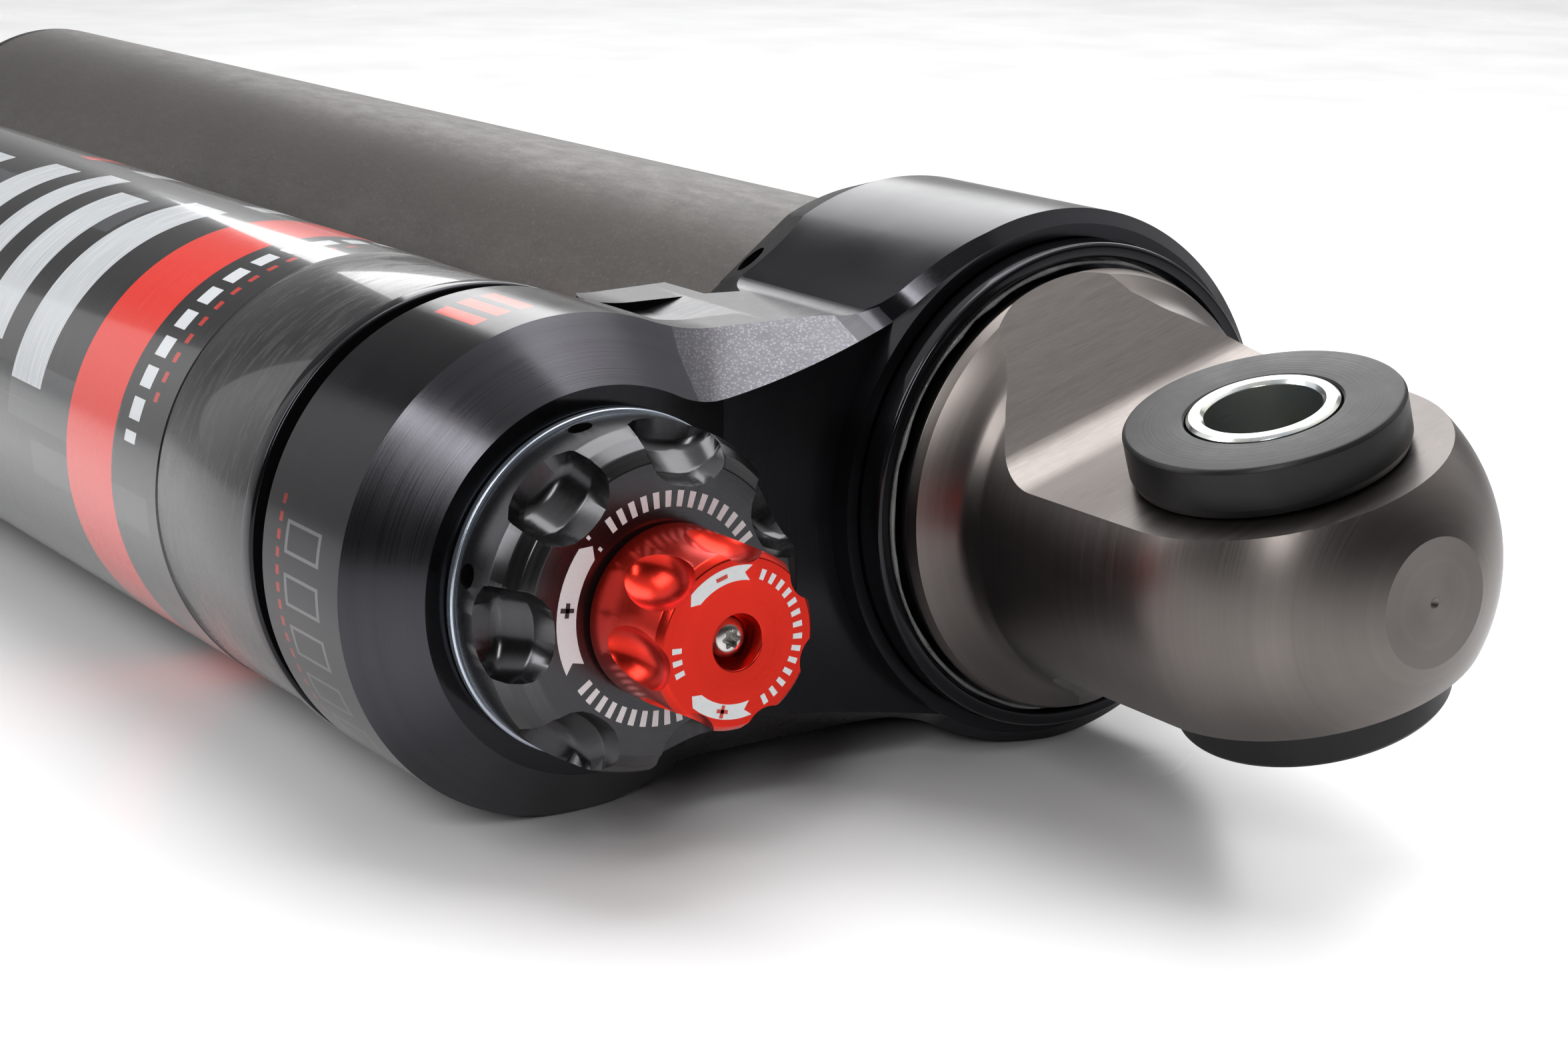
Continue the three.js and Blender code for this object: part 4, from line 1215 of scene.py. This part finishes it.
kept = {
    inner("inner_black", (0.030, 0.030, 0.034), 0.3, body_axis, 0.9): ["seal_head"],
    inner("inner_bronze", (0.42, 0.27, 0.11), 0.35, body_axis): ["shaft_guide_bushing", "main_piston"],
    inner("inner_steel", (0.40, 0.40, 0.42), 0.3, body_axis): [
        "compression_shims", "rebound_shims", "piston_nut", "seal_head_wire_ring"],
    inner("inner_alloy", (0.50, 0.51, 0.53), 0.35, body_axis): ["top_out_spacer"],
    inner("adjuster_bronze", (0.42, 0.27, 0.11), 0.35, reservoir_axis): ["high_speed_collar"],
    inner("adjuster_steel", (0.40, 0.40, 0.42), 0.3, reservoir_axis): [
        "high_speed_disc_spring", "high_speed_valve_plate", "low_speed_needle"],
    inner("piston_alloy", (0.50, 0.51, 0.53), 0.35, reservoir_axis): ["floating_piston"],
    rubber: [
        "seal_head_o_ring", "shaft_seal", "reservoir_end_o_ring", "adjuster_o_ring",
        "floating_piston_o_ring"],
    bump_urethane: ["piston_wear_band", "floating_piston_band"],
}
for finish, names in kept.items():
    for name in names:
        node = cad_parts[name]
        node.data.materials.clear()
        node.data.materials.append(finish.material)


# ---- floor, light and camera -----------------------------------------------------------------------
FLOOR_REACH = 3.2  # in m: how far the table comes towards the camera
FLOOR_FLAT = 1.6  # where it starts to curve up, past the object
FLOOR_CURVE = 1.2  # the curve's radius
FLOOR_HALF_WIDTH = 3.5
FLOOR_MIDDLE = Vector((0.2, 0.0, 0))
LOOK = Vector((-0.825, 0.565, 0))  # the camera's heading over the floor
ACROSS = Vector((0.565, 0.825, 0))


def build_floor():
    """A pale glossy table that curves up far behind the object."""
    profile = [(-FLOOR_REACH, 0.0)]
    for degrees in range(0, 91, 5):
        turn = math.radians(degrees)
        across, rise = math.sin(turn), 1 - math.cos(turn)
        profile.append((FLOOR_FLAT + FLOOR_CURVE * across, FLOOR_CURVE * rise))
    profile.append((FLOOR_FLAT + FLOOR_CURVE, 3.0))
    vertices = []
    for distance, height in profile:
        for side in (-FLOOR_HALF_WIDTH, FLOOR_HALF_WIDTH):
            spot = FLOOR_MIDDLE + LOOK * distance + ACROSS * side
            vertices.append((spot.x, spot.y, height))
    faces = [(2 * i, 2 * i + 1, 2 * i + 3, 2 * i + 2) for i in range(len(profile) - 1)]
    mesh = bpy.data.meshes.new("floor")
    mesh.from_pydata(vertices, [], faces)
    for face in mesh.polygons:
        face.use_smooth = True
    made = bpy.data.objects.new("floor", mesh)
    bpy.context.scene.collection.objects.link(made)
    s = Shader("floor_sheet", (0.86, 0.86, 0.865), 0.0, 0.22)
    wave = s.noise(s.point(), 14.0, 2.0)
    s.rough(s.remap(wave, 0.3, 0.7, 0.20, 0.28))
    mesh.materials.append(s.material)


build_floor()


def softbox(name, place, aim, width, height, power, colour=(1, 1, 1)):
    data = bpy.data.lights.new(name, "AREA")
    data.shape = "RECTANGLE"
    data.size = width
    data.size_y = height
    data.energy = power
    data.color = colour
    made = bpy.data.objects.new(name, data)
    made.location = place
    made.rotation_euler = (Vector(aim) - Vector(place)).to_track_quat("-Z", "Y").to_euler()
    bpy.context.scene.collection.objects.link(made)
    return made


softbox("top_box", (0.10, 0.25, 1.05), (0.25, 0.0, 0.0), 1.1, 0.8, 11.0)
softbox("back_box", (-0.75, 0.95, 0.75), (0.25, 0.0, 0.05), 1.4, 0.7, 9.0)
softbox("left_box", (-0.25, -0.95, 0.70), (0.30, 0.0, 0.05), 0.4, 0.7, 5.0)
softbox("key_strip", (0.95, -0.62, 0.62), (0.33, -0.02, 0.05), 0.18, 0.6, 3.5)

world = bpy.data.worlds.new("studio")
bpy.context.scene.world = world
world.use_nodes = True
tree = world.node_tree
coordinate = tree.nodes.new("ShaderNodeTexCoord")


def world_math(operation, a, b=0.0, clamp=False):
    made = tree.nodes.new("ShaderNodeMath")
    made.operation = operation
    made.use_clamp = clamp
    for socket, value in zip(made.inputs, (a, b)):
        if isinstance(value, bpy.types.NodeSocket):
            tree.links.new(value, socket)
        else:
            socket.default_value = value
    return made.outputs[0]


def facing(direction):
    made = tree.nodes.new("ShaderNodeVectorMath")
    made.operation = "DOT_PRODUCT"
    tree.links.new(coordinate.outputs["Generated"], made.inputs[0])
    made.inputs[1].default_value = direction
    return made.outputs["Value"]


away = facing((-0.72, 0.49, 0.30))
upward = facing((0.0, 0.0, 1.0))
sky = tree.nodes.new("ShaderNodeMapRange")
sky.interpolation_type = "SMOOTHSTEP"
tree.links.new(world_math("ADD", world_math("MULTIPLY", away, 0.75), world_math("MULTIPLY", upward, 0.40)),
               sky.inputs["Value"])
for key, number in (("From Min", -0.15), ("From Max", 0.75), ("To Min", 0.03), ("To Max", 1.1)):
    sky.inputs[key].default_value = number
tree.links.new(sky.outputs[0], tree.nodes["Background"].inputs["Strength"])
tree.nodes["Background"].inputs["Color"].default_value = (1.0, 1.0, 1.0, 1)

camera_data = bpy.data.cameras.new("camera")
camera_data.lens = 68.76
camera_data.sensor_width = 36.0
camera_data.clip_start = 0.01
camera = bpy.data.objects.new("camera", camera_data)
bpy.context.scene.collection.objects.link(camera)
right = Vector((0.5624, 0.8267, 0.0107))
up = Vector((-0.2159, 0.1344, 0.9672))
back = right.cross(up)
turn = Matrix((right, up, back)).transposed().to_4x4()
camera.matrix_world = Matrix.Translation((0.6895, -0.2420, 0.1475)) @ turn
bpy.context.scene.camera = camera
bpy.context.scene.view_settings.view_transform = "Standard"
